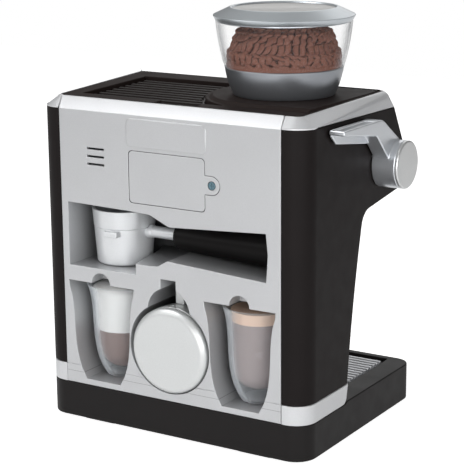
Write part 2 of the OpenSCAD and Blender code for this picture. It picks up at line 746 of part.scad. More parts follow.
lever_x = -side_x - seat;
cap_t = 2.3;
arm_top = lever_z + 35.3;
module lever_arm() {
    y = lever_y;
    z = lever_z;
    tip = y + arm_reach;
    arm = rounded([[tip, arm_top - 3.2], [tip, arm_top], [y + 24.5, arm_top - 0.3],
        [y - 1.5, z + 16.5], [y, z], [y + 15.5, z + 6.2], [y + 33.1, arm_top - 10.6]],
        [1.2, 1.2, 12, 0, 0, 0, 6]);
    flange = [[tip, arm_top - 3.5], [tip - 7.4, arm_top - 10.5], [y + 24.5, arm_top - 17.9],
        [y + 19, arm_top - 19], [y + 25, arm_top - 8], [y + 33, arm_top - 5]];
    mid = lever_x - 1 - arm_w / 2;
    color(silver) difference() {
        union() {
            translate([mid, 0, 0]) along_x(arm_w) polygon(arm);
            translate([lever_x - 2, 0, 0]) along_x(2) polygon([for (i = [5:-1:0]) flange[i]]);
            translate([lever_x - drum_l + cap_t, y, z]) axis_x()
                cylinder(r = drum_r, h = drum_l - cap_t, $fn = 96);
        }
        // Sunk top of the arm between two rims.
        translate([mid, 0, 0]) along_x(arm_w - 3)
            polygon([[tip - 2, arm_top - 0.9], [tip - 2, arm_top + 3], [y + 34, arm_top + 3],
                [y + 34, arm_top - 1.1]]);
        translate([lever_x - drum_l + cap_t + 3, y, z]) axis_x()
            cylinder(r = axle_r + run / 2, h = drum_l);
    }
}
module lever_cap() {
    color(bright) translate([lever_x - drum_l + cap_t, lever_y, lever_z]) rotate([0, -90, 0])
        rotate_extrude($fn = 96) polygon([[0, 0], [drum_r, 0], [drum_r, cap_t - 0.8],
            [drum_r - 0.8, cap_t], [0, cap_t]]);
}
axle_in = wall + boss_l + 4;
clip_t = 1.6;
module lever_axle() {
    color(steel) translate([lever_x - drum_l + cap_t + 3, lever_y, lever_z]) axis_x()
        cylinder(r = axle_r, h = drum_l - cap_t - 3 + seat + axle_in);
}
module lever_clip() {
    color(steel) translate([-side_x + wall + boss_l + 0.1, lever_y, lever_z]) axis_x()
        ring(axle_r + 3, axle_r + run / 2, clip_t);
}

// ---------- battery bay and speaker ----------

cell_bay_d = 17;
bay_wall = 1.6;
cell_r = 7.1;
cell_l = 50;
cell_y = rear_y - wall - cell_bay_d + bay_wall + cell_r + 0.3;
module battery_box() {
    w = door_w + 4;
    h = door_h + 2.6;
    color(black) difference() {
        union() {
            along_y(rear_y - wall, cell_bay_d) polygon(box_pts(-w / 2, door_z - h / 2, w / 2,
                door_z + h / 2));
            along_y(rear_y - wall - door_t, 10) translate([tab_x, tab_z]) circle(r = 4.2);
        }
        along_y(rear_y, cell_bay_d + wall - bay_wall) polygon(box_pts(-w / 2 + bay_wall,
            door_z - h / 2 + bay_wall, w / 2 - bay_wall, door_z + h / 2 - bay_wall));
        along_y(rear_y, 11) translate([tab_x, tab_z]) circle(r = 1.4 + run, $fn = 24);
    }
}
cell_dz = cell_r + 0.4;
module cell() {
    rotate_extrude($fn = 40) polygon([[0, 0], [cell_r - 1, 0], [cell_r, 0.8],
        [cell_r, cell_l - 2.4], [cell_r - 0.8, cell_l - 1.6], [2.6, cell_l - 1.6],
        [2.6, cell_l], [0, cell_l]]);
}
module battery_cells() {
    color([0.1, 0.25, 0.45]) for (s = [-1, 1])
        translate([s * cell_l / 2, cell_y, door_z - s * cell_dz]) rotate([0, -s * 90, 0]) cell();
}
module battery_contacts() {
    inner = door_w / 2 + 2 - bay_wall;
    color(steel) for (s = [-1, 1]) {
        translate([s * inner - (s > 0 ? 0.4 : 0), cell_y - 5, door_z - cell_dz - 5])
            cube([0.4, 10, 2 * cell_dz + 10]);
        // Conical spring as a stack of turns against the cell's flat end.
        translate([s * (inner - 0.4), cell_y, door_z - s * cell_dz]) rotate([0, -s * 90, 0])
            rotate_extrude($fn = 32) polygon([[3.4, 0], [5, 0], [5, 1.5], [4.4, 2.2],
                [4.4, 3.6], [3.8, 4.2], [3.8, inner - 0.4 - cell_l / 2 - 0.1],
                [2.6, inner - 0.4 - cell_l / 2 - 0.1], [2.6, 3], [3.4, 2]]);
    }
}
module battery_door() {
    color(silver) difference() {
        union() {
            along_y(rear_y, door_t) door_outline(0);
            // Locating rim inside the bay.
            along_y(rear_y - door_t + 0.1, 2.6) difference() {
                polygon(box_pts(-door_w / 2 + 1.4, door_z - door_h / 2 + 1.4, door_w / 2 - 1.4,
                    door_z + door_h / 2 - 1.4));
                polygon(box_pts(-door_w / 2 + 2.8, door_z - door_h / 2 + 2.8, door_w / 2 - 2.8,
                    door_z + door_h / 2 - 2.8));
            }
        }
        along_y(rear_y + 1, 2.2) translate([tab_x, tab_z]) circle(r = 3.1, $fn = 32);
        along_y(rear_y + 1, 9) translate([tab_x, tab_z]) circle(r = 1.4 + run, $fn = 24);
    }
}
module door_screw() {
    color(steel) translate([tab_x, rear_y - 0.2, tab_z]) rotate([90, 0, 0])
        cross_screw(2.8, 1, 1.4, 7.5, $fn = 24);
}
speaker_r = 14;
module speaker() {
    translate([speaker_x, rear_y - wall, speaker_z]) rotate([90, 0, 0]) {
        color([0.3, 0.3, 0.32]) rotate_extrude() polygon([[speaker_r - 2, 0], [speaker_r, 0],
            [speaker_r, 2], [9, 6], [9, 9], [0, 9], [0, 4], [4, 4], [speaker_r - 2, 1.2]]);
    }
}

// ---------- portafilter ----------

seam_h = filter_h - 13;
module at_filter() {
    translate([filter_x, filter_y, filter_z]) children();
}
module portafilter_bowl() {
    foot = [filter_foot_r, 1.2];
    top = [bowl_top_r - 1.1, seam_h];
    color(silver) at_filter() {
        rotate_extrude($fn = 96) polygon([[0, 0], [filter_foot_r - 1.2, 0], foot, top,
            top - [2, 0], [filter_foot_r - 2, 4], [0, 4]]);
        // Locking lugs at right angles to the neck.
        for (s = [-1, 1]) difference() {
            translate([-10, s > 0 ? 14 : -14 - bowl_top_r + 12.4, seam_h - 5])
                cube([11.2, bowl_top_r - 12.4, 4]);
            translate([0, 0, seam_h - 7]) cylinder(r = bowl_top_r - 2.4, h = 8);
        }
    }
}
module portafilter_collar() {
    foot = [bowl_top_r - 0.9, seam_h + 0.1];
    color(silver) at_filter() rotate_extrude($fn = 96) polygon([[bowl_top_r - 3.1, foot[1]],
        foot, [bowl_top_r - 0.1, filter_h - 1.2], [bowl_top_r, filter_h - 0.9],
        [bowl_top_r, filter_h], [bowl_top_r - 2, filter_h], [bowl_top_r - 3, filter_h - 4]]);
}
neck_tube_r = 4.2;
module portafilter_neck() {
    inner = filter_x - bowl_top_r + 3;
    color(bright) difference() {
        translate([inner, filter_y, filter_axis_z]) rotate([0, -90, 0])
            rotate_extrude() polygon([[0, 0], [4.9, 0], [4.9, 4.6], [neck_tube_r, 5.8],
                [neck_tube_r, inner - grip_x], [0, inner - grip_x]]);
        // Seat against the bowl's cone and the collar.
        at_filter() cylinder(r1 = filter_foot_r + 0.05, r2 = bowl_top_r - 1.05, h = seam_h);
        at_filter() translate([0, 0, seam_h - 0.1]) cylinder(r = bowl_top_r - 0.05, h = filter_h);
    }
}
grip_r = [10.4, 13.6];
module portafilter_grip() {
    cap_l = 3;
    color(black) translate([grip_x, filter_y, filter_axis_z]) rotate([0, -90, 0])
        rotate_extrude($fn = 72) polygon([[0, 0], [grip_r[0] - 1.6, 0], [grip_r[0] - 1, 0.4],
            [grip_r[0] - 1, 1.6], [grip_r[0] - 0.2, 1.8], [grip_r[0], 2.6],
            [grip_r[1], grip_l - cap_l], [0, grip_l - cap_l]]);
}
module portafilter_cap() {
    color([0.2, 0.2, 0.2]) translate([grip_x - grip_l + 3, filter_y, filter_axis_z])
        rotate([0, -90, 0]) rotate_extrude($fn = 72) polygon([[0, 0], [grip_r[1] - 0.4, 0],
            [grip_r[1] - 0.6, 1.2], [grip_r[1] - 2.2, 2.6], [0, 3]]);
}

// ---------- cups ----------

insert_gap = 1.2;
module at_cup(s) {
    translate([s * cup_x, cup_y, cup_z]) children();
}
function cup_curve(inset, t0, t1, n) = [for (i = [0:n]) let (t = t0 + (t1 - t0) * i / n)
    [cup_side_r(t) - inset, t * cup_h]];
function reversed(pts) = [for (i = [len(pts) - 1:-1:0]) pts[i]];
module cup_glass(s) {
    floor_t = 2;
    color(clear) at_cup(s) rotate_extrude($fn = 72) polygon(concat([[0, 0], [cup_foot_r - 0.6, 0]],
        cup_curve(0, 0.01, 1, 12), reversed(cup_curve(cup_wall, floor_t / cup_h, 1, 12)),
        [[0, floor_t]]));
}
fill_inset = cup_wall + insert_gap;
fill_t = 0.1;
latte_t = 0.515;
crema_t = 0.78;
brim_t = 0.93;
shot_brim_t = 0.89;
// Insert wall at a share t of the cup's height: beside the glass, but never wider than wide.
function fill_curve(wide, t0, t1, n) = [for (i = [0:n]) let (t = t0 + (t1 - t0) * i / n)
    [min(wide, cup_side_r(t) - fill_inset), t * cup_h]];
module cup_fill(s, wide, t0, t1, round_foot) {
    foot = round_foot ? [[0, t0 * cup_h], [cup_side_r(t0) - fill_inset - 4, t0 * cup_h]]
        : [[0, t0 * cup_h]];
    at_cup(s) rotate_extrude($fn = 60) polygon(concat(foot,
        fill_curve(wide, t0 + (round_foot ? 0.04 : 0), t1, 8), [[0, t1 * cup_h]]));
}
module latte_coffee() {
    color(brown) {
        cup_fill(1, cup_rim_r, fill_t, latte_t, true);
        // Foot that stands the insert on the cup's floor.
        at_cup(1) translate([0, 0, 2]) cylinder(r = 6, h = fill_t * cup_h - 2);
    }
}
dome_h = 6;
module latte_foam() {
    top = cup_side_r(brim_t) - fill_inset;
    color(white) {
        cup_fill(1, cup_rim_r, latte_t, brim_t, false);
        at_cup(1) rotate_extrude($fn = 60) polygon(concat([[0, brim_t * cup_h],
            [top + insert_gap - 0.1, brim_t * cup_h]], [for (a = [15:15:90])
            [top * cos(a), brim_t * cup_h + dome_h * sin(a)]]));
    }
}
shot_r = cup_r - 6.2;
shot_t = 0.15;
module espresso_coffee() {
    color([0.42, 0.33, 0.3]) {
        cup_fill(-1, shot_r, shot_t, crema_t, true);
        at_cup(-1) translate([0, 0, 2]) cylinder(r = 6, h = shot_t * cup_h - 2);
    }
}
module espresso_crema() {
    color([0.78, 0.52, 0.32]) {
        cup_fill(-1, shot_r, crema_t, shot_brim_t, false);
        // Rim that holds the insert in the glass.
        at_cup(-1) translate([0, 0, shot_brim_t * cup_h - 0.01]) rotate_extrude($fn = 60)
            polygon([[0, 0], [cup_side_r(shot_brim_t) - cup_wall - 0.15, 0],
                [cup_side_r(shot_brim_t) - cup_wall - 0.15, 1], [shot_r - 1.5, 1.6], [0, 1.6]]);
    }
}

// ---------- jug ----------

jug_y = rear_y + 2.6;
jug_wall = 1.8;
foot_cap = 6.5;
jug_spout = 3.4;
module at_jug() {
    translate([0, jug_y, jug_z]) rotate([90, 0, 0]) children();
}
// Jug wall from just above the foot cap to the mouth: (radius, height) inset by g.
function jug_side(g) = [[jug_r - g, foot_cap + 0.8], [jug_r - g, 12], [jug_r - 0.8 - g, 22],
    [jug_r - 3.6 - g, 34], [jug_r - 6.2 - g, 44], [jug_r - 6.4 - g, 48],
    [jug_r - 5 - g, 53], [jug_r - 3.4 - g, jug_h]];
module jug_body() {
    lip_y = -(jug_r - 3.4);
    color(bright) at_jug() difference() {
        union() {
            rotate_extrude($fn = 96) polygon(concat([[0, foot_cap - 0.4],
                [jug_r - 3, foot_cap - 0.4], [jug_r - 3, foot_cap + 0.8]], jug_side(0),
                [[0, jug_h]]));
            // Thumb lug just behind the foot cap.
            translate([-2.8, jug_r - 5, foot_cap - 0.2]) cube([5.6, 5, 4.4]);
            // Pouring lip on the side away from the handle.
            hull() {
                translate([0, lip_y + 6, jug_h - 12]) cylinder(r = 5, h = 0.1, $fn = 32);
                translate([0, lip_y - jug_spout + 5, jug_h - 0.1])
                    cylinder(r = 5, h = 0.1, $fn = 32);
                translate([0, lip_y + 12, jug_h - 0.1]) cylinder(r = 9, h = 0.1, $fn = 32);
            }
        }
        rotate_extrude($fn = 96) polygon(concat([[0, foot_cap + 2.4],
            [jug_r - 6, foot_cap + 2.4], [jug_r - jug_wall, foot_cap + 4.5]],
            [for (p = jug_side(jug_wall)) if (p[1] > foot_cap + 5) p],
            [[jug_r - 3.4 - jug_wall, jug_h + 1], [0, jug_h + 1]]));
        hull() {
            translate([0, lip_y + 9, jug_h - 11]) cylinder(r = 3.4, h = 0.1, $fn = 32);
            translate([0, lip_y - jug_spout + 5.6, jug_h]) cylinder(r = 3.6, h = 1, $fn = 32);
            translate([0, lip_y + 12, jug_h]) cylinder(r = 7.4, h = 1, $fn = 32);
        }
    }
}
module jug_foot() {
    r = 5;
    color(bright) at_jug() rotate_extrude($fn = 96) polygon(concat([[0, 0], [jug_r - r, 0]],
        [for (a = [-75:15:0]) [jug_r - r + r * cos(a), r + r * sin(a)]],
        [[jug_r, foot_cap - 0.8], [jug_r - 0.8, foot_cap - 0.4], [0, foot_cap - 0.4]]));
}
handle_w = 7;
handle_out = 47;
module jug_handle() {
    t = 3.6;
    low = 20.5;
    high = 50;
    outer = rounded([[jug_r - 1.6, low - t], [handle_out, low - t], [handle_out, high],
        [jug_r - 6.2, high]], [0, 6, 9, 0]);
    color(bright) at_jug() difference() {
        rotate([90, 0, 90]) linear_extrude(handle_w, center = true) difference() {
            polygon(outer);
            polygon(rounded([[0, low], [handle_out - t, low], [handle_out - t, high - t],
                [0, high - t]], [0, 3, 5, 0]));
        }
        // Ends follow the jug's wall.
        rotate_extrude($fn = 96) polygon(concat([[0, foot_cap + 0.8]], jug_side(-0.03),
            [[0, jug_h]]));
    }
}

// ---------- front ----------

panel_in = 1;
panel_low = 5.6;
slope_l = (top_front_y - nose[0]) / cos(front_angle);
panel_high = slope_l - 2.5;
panel_side = (side_front_y - nose[0]) / cos(front_angle) - 1;
gauge_up = panel_high * 0.62;
dial_up = panel_high * 0.56;
button_up = panel_high * 0.22;
button_step = 20;
shaft_r = 3;
face = -panel_in;
back = face - wall;
board_out = back - 6;
module front_panel() {
    color(silver) difference() {
        union() {
            // Narrower above the side walls, between the trims.
            on_front(0, 0, back) linear_extrude(wall) polygon(mirrored([[side_x - wall - slip,
                panel_low], [side_x - wall - slip, panel_side], [side_x - cover_in_front - 0.5,
                panel_side], [side_x - cover_in_front - 0.5, panel_high]]));
            for (x = [-1, 1], u = [button_up - 4, gauge_up + 14]) on_front(x * 38, u, board_out)
                cylinder(r = 2.5, h = back - board_out + 0.5, $fn = 24);
        }
        for (x = [-dial_x, dial_x]) on_front(x, dial_up, back - 1)
            cylinder(r = shaft_r + run, h = wall + 2, $fn = 40);
        for (i = [-1:1]) on_front(i * button_step, button_up, back - 1)
            cylinder(r = button_r + 0.08, h = wall + 2, $fn = 40);
    }
}
module gauge_bezel() {
    color(steel) on_front(0, gauge_up, face) rotate_extrude($fn = 72)
        polygon([[gauge_r - 2.4, 0], [gauge_r, 0], [gauge_r, 2.2], [gauge_r - 0.8, 3],
            [gauge_r - 1.6, 3], [gauge_r - 2.4, 2.2]]);
}
module gauge_face() {
    r = gauge_r - 2.4;
    color(white) on_front(0, gauge_up, face) {
        cylinder(r = r, h = 0.8, $fn = 72);
        for (a = [-120:30:120]) rotate(-a) translate([-0.4, r - 4, 0]) cube([0.8, 3, 1]);
        rotate(35) translate([-0.5, -3, 0]) cube([1, r - 3, 1.3]);
        cylinder(r = 2, h = 1.5, $fn = 24);
    }
}
module gauge_lens() {
    color(clear) on_front(0, gauge_up, face + 1.7) cylinder(r = gauge_r - 2.5, h = 0.9, $fn = 72);
}
module dial() {
    h = 12;
    difference() {
        union() {
            translate([0, 0, seat]) cylinder(r = dial_r + 1.5, h = 2, $fn = 72);
            rotate_extrude($fn = 72) polygon([[0, seat], [dial_r, seat], [dial_r - 1, h - 1],
                [dial_r - 2, h], [0, h]]);
            translate([0, 0, board_out - face + 3]) cylinder(r = shaft_r, h = 6, $fn = 40);
        }
        for (a = [0:15:345]) rotate(a) translate([dial_r + 0.2, 0, 3.5])
            cylinder(r = 1, h = h, $fn = 16);
        translate([-0.6, dial_r * 0.35, h - 0.8]) cube([1.2, dial_r, 2]);
    }
}
module dose_dial() {
    color(bright) on_front(-dial_x, dial_up, face) dial();
}
module mode_dial() {
    color(bright) on_front(dial_x, dial_up, face) dial();
}
module button(x) {
    flange = 1;
    color(bright) on_front(x, button_up, face) {
        rotate_extrude($fn = 40) polygon([[0, -wall - 0.5], [button_r, -wall - 0.5],
            [button_r, 1.9], [button_r - 0.7, 2.6], [0, 2.2]]);
        translate([0, 0, -wall - 0.15 - flange]) cylinder(r = button_r + 1.4, h = flange, $fn = 40);
    }
}
module button_left() {
    button(-button_step);
}
module button_middle() {
    button(0);
}
module button_right() {
    button(button_step);
}
module control_board() {
    t = 1.6;
    w = 2 * dial_x + 24;
    color([0.1, 0.35, 0.2]) {
        on_front(0, 0) translate([-w / 2, panel_low + 4, board_out - t])
            cube([w, panel_high - panel_low - 15, t]);
        // Switches under the buttons and click rings under the dials.
        for (i = [-1:1]) on_front(i * button_step, button_up, board_out)
            translate([-3, -3, 0]) cube([6, 6, 2]);
        for (x = [-dial_x, dial_x]) on_front(x, dial_up, board_out)
            ring(6, shaft_r + 0.3, 4);
    }
}

// ---------- under the head ----------

brew_top = nose[1] + 1;
socket_r = bowl_top_r + 1.2;
lug_r = bowl_top_r + 2.2;
brew_drop = filter_h - seam_h + 9;
module group_head() {
    low = brew_top - 3 - brew_drop;
    color(steel) translate([brew_x, brew_y, 0]) difference() {
        union() {
            translate([0, 0, low + 6]) cylinder(r = brew_r, h = brew_top - low - 6, $fn = 96);
            translate([0, 0, low]) cylinder(r = brew_r - 1.5, h = 6.5, $fn = 96);
        }
        translate([0, 0, low - 1]) cylinder(r = socket_r, h = brew_drop + 1, $fn = 96);
        // Entry slots for the lugs and the turning groove above them.
        for (s = [-1, 1]) intersection() {
            translate([0, 0, low - 1]) cylinder(r = lug_r, h = 8, $fn = 96);
            translate([s * socket_r - 4, -8, low - 1]) cube([8, 16, 8]);
        }
        translate([0, 0, low + 3]) ring(lug_r, socket_r - 0.5, 5, $fn = 96);
    }
}
module shower_screen() {
    r = socket_r - 0.3;
    color(bright) translate([brew_x, brew_y, brew_top - 4.6]) difference() {
        cylinder(r = r, h = 1.5, $fn = 72);
        for (n = [1:3], i = [0:6 * n - 1]) rotate(i * 60 / n)
            translate([n * r * 0.27, 0, -1]) cylinder(r = 1, h = 4, $fn = 16);
    }
}
module grinder_chute() {
    low = brew_top - 17;
    color(black) translate([chute_x, brew_y, 0]) difference() {
        union() {
            translate([0, 0, low]) cylinder(r = chute_r, h = brew_top - low, $fn = 96);
        }
        translate([0, 0, low - 1]) difference() {
            cylinder(r = chute_r - 3, h = 13, $fn = 96);
            translate([0, 0, -1]) cylinder(r1 = 9, r2 = 12, h = 20);
        }
        translate([0, 0, low - 1]) cylinder(r = 6.5, h = 15, $fn = 40);
        translate([-10, chute_r - 8, low - 1]) cube([20, 16, 9]);
    }
}
wand_y = brew_y;
wand_z = neck[1] + 2;
ball_r = 6;
module wand_socket() {
    color(black) translate([wand_x, wand_y, 0]) difference() {
        translate([0, 0, wand_z - 3]) cylinder(r = wand_r, h = brew_top - wand_z + 3);
        translate([0, 0, wand_z]) sphere(r = ball_r + 0.25);
        translate([0, 0, wand_z - 5]) cylinder(r = ball_r - 0.6, h = 4);
    }
}
wand_r_tube = 2.6;
wand_tilt = 14;
wand_drop = 16;
wand_l = 62;
module at_wand_knee() {
    translate([wand_x, wand_y, wand_z - wand_drop]) rotate([-wand_tilt, 0, 0]) children();
}
module steam_wand() {
    knee = 3.4;
    color(bright) {
        translate([wand_x, wand_y, wand_z]) rotate_extrude($fn = 48)
            polygon(concat([[0, -wand_drop - knee]], [for (a = [-75:15:0])
                [knee * cos(a), -wand_drop + knee * sin(a)]], [[knee, -wand_drop + 1],
                [wand_r_tube, -wand_drop + 2.5]], [for (a = [-60:15:90])
                [ball_r * cos(a), ball_r * sin(a)]]));
        at_wand_knee() translate([0, 0, -wand_l]) rotate_extrude($fn = 40)
            polygon([[0, -4], [1.6, -4], [3.6, -1.5], [3.6, 4], [wand_r_tube, 6],
                [wand_r_tube, wand_l - 1], [0, wand_l - 1]]);
    }
}
module wand_sleeve() {
    color(black) at_wand_knee() translate([0, 0, -wand_l * 0.62])
        ring(5, wand_r_tube + 0.05, wand_l * 0.5, $fn = 40);
}

base();
base_plate();
feet();
base_screws();
drip_grille();
body_shell();
lower_bands();
rear_panel();
side_trims();
top_cover();
cup_tray();
hopper_bowl();
hopper_jar();
coffee_grounds();
hopper_lid();
lever_arm();
lever_cap();
lever_axle();
lever_clip();
battery_box();
battery_contacts();
battery_cells();
battery_door();
door_screw();
speaker();
portafilter_bowl();
portafilter_collar();
portafilter_neck();
portafilter_grip();
portafilter_cap();
cup_glass(1);  // latte_glass
latte_coffee();
latte_foam();
cup_glass(-1);  // espresso_glass
espresso_coffee();
espresso_crema();
jug_body();
jug_foot();
jug_handle();
front_panel();
gauge_bezel();
gauge_face();
gauge_lens();
dose_dial();
mode_dial();
button_left();
button_middle();
button_right();
control_board();
group_head();
shower_screen();
grinder_chute();
wand_socket();
steam_wand();
wand_sleeve();
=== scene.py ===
import math

import bmesh
import bpy
import numpy as np
from mathutils import Matrix, Vector


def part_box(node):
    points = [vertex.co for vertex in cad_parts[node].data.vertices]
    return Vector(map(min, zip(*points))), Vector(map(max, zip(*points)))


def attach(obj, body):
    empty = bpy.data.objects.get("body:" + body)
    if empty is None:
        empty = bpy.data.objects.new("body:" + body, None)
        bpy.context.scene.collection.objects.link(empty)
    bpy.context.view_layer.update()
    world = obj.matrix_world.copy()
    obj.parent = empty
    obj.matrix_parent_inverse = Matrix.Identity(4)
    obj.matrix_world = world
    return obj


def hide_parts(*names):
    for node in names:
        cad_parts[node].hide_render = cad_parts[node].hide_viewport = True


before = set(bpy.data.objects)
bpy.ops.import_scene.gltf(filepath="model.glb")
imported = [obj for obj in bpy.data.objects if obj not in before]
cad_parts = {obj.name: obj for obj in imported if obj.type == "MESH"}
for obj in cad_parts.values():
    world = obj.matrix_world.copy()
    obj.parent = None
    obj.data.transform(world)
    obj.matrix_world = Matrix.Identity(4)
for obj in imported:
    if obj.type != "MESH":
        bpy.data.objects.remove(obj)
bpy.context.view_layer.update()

scene = bpy.context.scene
scene.view_settings.view_transform = "Standard"


# ---------- camera ----------
# A long lens looks down a little on the storage back and the lever's side.
# Its place is in metres in the part's own frame, and its turns are in degrees.
CAMERA_AT = Vector((-0.60137, 0.97043, 0.41111))
SENSOR_MM = 36
FOCAL_PX, PICTURE_PX = 1608.97, 464
YAW, PITCH, ROLL = (math.radians(a) for a in (31.744, 13.776, -0.446))
ahead = Vector((math.sin(YAW) * math.cos(PITCH), -math.cos(YAW) * math.cos(PITCH),
                -math.sin(PITCH)))
level = ahead.cross(Vector((0, 0, 1))).normalized()
upright = level.cross(ahead)
right = level * math.cos(ROLL) + upright * math.sin(ROLL)
over = upright * math.cos(ROLL) - level * math.sin(ROLL)
camera = bpy.data.objects.new("camera", bpy.data.cameras.new("camera"))
camera.data.sensor_width = SENSOR_MM
camera.data.lens = SENSOR_MM * FOCAL_PX / PICTURE_PX
camera.data.clip_start = 0.05
camera.matrix_world = Matrix((
    (right.x, over.x, -ahead.x, CAMERA_AT.x), (right.y, over.y, -ahead.y, CAMERA_AT.y),
    (right.z, over.z, -ahead.z, CAMERA_AT.z), (0, 0, 0, 1)))
scene.collection.objects.link(camera)
scene.camera = camera


# ---------- room ----------
# A pale floor in a white room, with wide soft lamps on every side.
# Camera and glass rays see white, while the room itself lights the toy faintly.
ROOM_LIGHT = 0.09
FLOOR_W, FLOOR_SHADE, FLOOR_GLOW, FLOOR_GLOSS = 3.2, 0.82, 0.9, 0.55


def feed(tree, slot, value):
    """Gives an input slot a socket's value or a plain one."""
    if isinstance(value, bpy.types.NodeSocket):
        tree.links.new(value, slot)
    else:
        slot.default_value = value


def maths(tree, operation, *values):
    """The result of a Math node on sockets or numbers."""
    work = tree.nodes.new("ShaderNodeMath")
    work.operation = operation
    for slot, value in zip(work.inputs, values):
        feed(tree, slot, value)
    return work.outputs[0]


def ramp(tree, value, before, after):
    """A socket's value moved from one range to another, and held at its ends."""
    ends = tree.nodes.new("ShaderNodeMapRange")
    for label, number in zip(("From Min", "From Max", "To Min", "To Max"), (*before, *after)):
        ends.inputs[label].default_value = number
    tree.links.new(value, ends.inputs["Value"])
    return ends.outputs[0]


def parted(tree, vector):
    """A vector socket's X, Y and Z."""
    parts = tree.nodes.new("ShaderNodeSeparateXYZ")
    tree.links.new(vector, parts.inputs[0])
    return parts.outputs


def ray_kinds(tree):
    """Two sockets: one marks camera and see-through rays, the other glossy rays."""
    rays = tree.nodes.new("ShaderNodeLightPath").outputs
    return (maths(tree, "MAXIMUM", rays["Is Camera Ray"], rays["Is Transmission Ray"]),
            rays["Is Glossy Ray"])


world = bpy.data.worlds.new("room")
scene.world = world
world.use_nodes = True
tree = world.node_tree
tree.nodes.clear()
seen, glossy = ray_kinds(tree)
# Gloss sees a dim room that brightens to one corner and overhead.
bearing = parted(tree, tree.nodes.new("ShaderNodeTexCoord").outputs["Generated"])
sideways = ramp(tree, bearing["X"], (-1, 1), (0.02, 0.19))
lengthways = ramp(tree, bearing["Y"], (-1, 1), (0, 0.16))
overhead = ramp(tree, bearing["Z"], (0, 1), (0, 0.3))
mirrored = maths(tree, "ADD", maths(tree, "ADD", sideways, lengthways), overhead)
glossed = maths(tree, "MULTIPLY", glossy, mirrored)
sky = tree.nodes.new("ShaderNodeBackground")
sky.inputs["Color"].default_value = (1, 1, 1, 1)
tree.links.new(maths(tree, "MAXIMUM", maths(tree, "MAXIMUM", seen, glossed), ROOM_LIGHT),
               sky.inputs["Strength"])
room_out = tree.nodes.new("ShaderNodeOutputWorld")
tree.links.new(sky.outputs[0], room_out.inputs["Surface"])

bpy.ops.mesh.primitive_plane_add(size=FLOOR_W, location=(0, 0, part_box("feet")[0].z))
floor = bpy.context.object
floor.name = "floor"
paper = bpy.data.materials.new("floor_paper")
paper.use_nodes = True
tree = paper.node_tree
tree.nodes.clear()
matt = tree.nodes.new("ShaderNodeBsdfDiffuse")
matt.inputs["Color"].default_value = (FLOOR_SHADE, FLOOR_SHADE, FLOOR_SHADE, 1)
lit = tree.nodes.new("ShaderNodeEmission")
lit.inputs["Strength"].default_value = FLOOR_GLOW
both = tree.nodes.new("ShaderNodeAddShader")
tree.links.new(matt.outputs[0], both.inputs[0])
tree.links.new(lit.outputs[0], both.inputs[1])
seen, glossy = ray_kinds(tree)
choose = tree.nodes.new("ShaderNodeMixShader")
tree.links.new(maths(tree, "MAXIMUM", seen, maths(tree, "MULTIPLY", glossy, FLOOR_GLOSS)),
               choose.inputs[0])
tree.links.new(matt.outputs[0], choose.inputs[1])
tree.links.new(both.outputs[0], choose.inputs[2])
paper_out = tree.nodes.new("ShaderNodeOutputMaterial")
tree.links.new(choose.outputs[0], paper_out.inputs["Surface"])
floor.data.materials.append(paper)

# Each lamp's name, place, size and watts. All of them face the toy's middle.
TOY_MIDDLE = Vector((0, 0, 0.14))
for lamp_name, place, size, watts in (("lamp_left", (1.1, 1.4, 0.8), 0.9, 3.6),
                                      ("lamp_right", (-1.5, 1.0, 0.6), 1.2, 14.5),
                                      ("lamp_low", (-0.3, 1.1, 0.12), 0.5, 3.2),
                                      ("lamp_corner", (-0.8, 1.3, 0.2), 0.8, 1.4),
                                      ("lamp_back", (0.3, 1.6, 1.5), 1.0, 1.6),
                                      ("lamp_top", (0.7, 0.5, 1.5), 1.0, 10),
                                      ("lamp_front", (0.4, -1.5, 1.0), 1.2, 4.5)):
    lamp = bpy.data.objects.new(lamp_name, bpy.data.lights.new(lamp_name, "AREA"))
    lamp.data.size = size
    lamp.data.energy = watts
    lamp.location = place
    aim = TOY_MIDDLE - lamp.location
    lamp.rotation_euler = aim.to_track_quat("-Z", "Y").to_euler()
    scene.collection.objects.link(lamp)


# ---------- plinth ----------
# The plinth is one black moulding with a sunk well for the drip grille and a raised rim.
# Its corners are softened as a mould leaves them, and its skin has a fine satin grain.
def swatch(red, green, blue):
    """A screen colour, given from 0 to 255, as linear light."""
    return [(c / 255 / 12.92 if c <= 10 else ((c / 255 + 0.055) / 1.055) ** 2.4)
            for c in (red, green, blue)]


def grain(tree, seed, size, detail):
    """A noise of a feature size in metres, on the piece's own coordinates."""
    place = tree.nodes.new("ShaderNodeTexCoord")
    shift = tree.nodes.new("ShaderNodeMapping")
    shift.inputs["Location"].default_value = (seed * 1.7, seed * 0.9, seed * 2.3)
    noise = tree.nodes.new("ShaderNodeTexNoise")
    noise.inputs["Scale"].default_value = 1 / size
    noise.inputs["Detail"].default_value = detail
    tree.links.new(place.outputs["Object"], shift.inputs["Vector"])
    tree.links.new(shift.outputs[0], noise.inputs["Vector"])
    return noise.outputs["Fac"]


def spread(tree, value, low, high):
    """The noise's middle stretched between two values."""
    return ramp(tree, value, (0.3, 0.7), (low, high))


def shade(tree, colour, factor_out):
    """A colour, plain or from a socket, multiplied by a factor."""
    tint = tree.nodes.new("ShaderNodeVectorMath")
    tint.operation = "SCALE"
    feed(tree, tint.inputs[0], colour)
    tree.links.new(factor_out, tint.inputs["Scale"])
    return tint.outputs[0]


def started(name):
    """A new material, its tree and its Principled shader."""
    made = bpy.data.materials.new(name)
    made.use_nodes = True
    return made, made.node_tree, made.node_tree.nodes["Principled BSDF"]


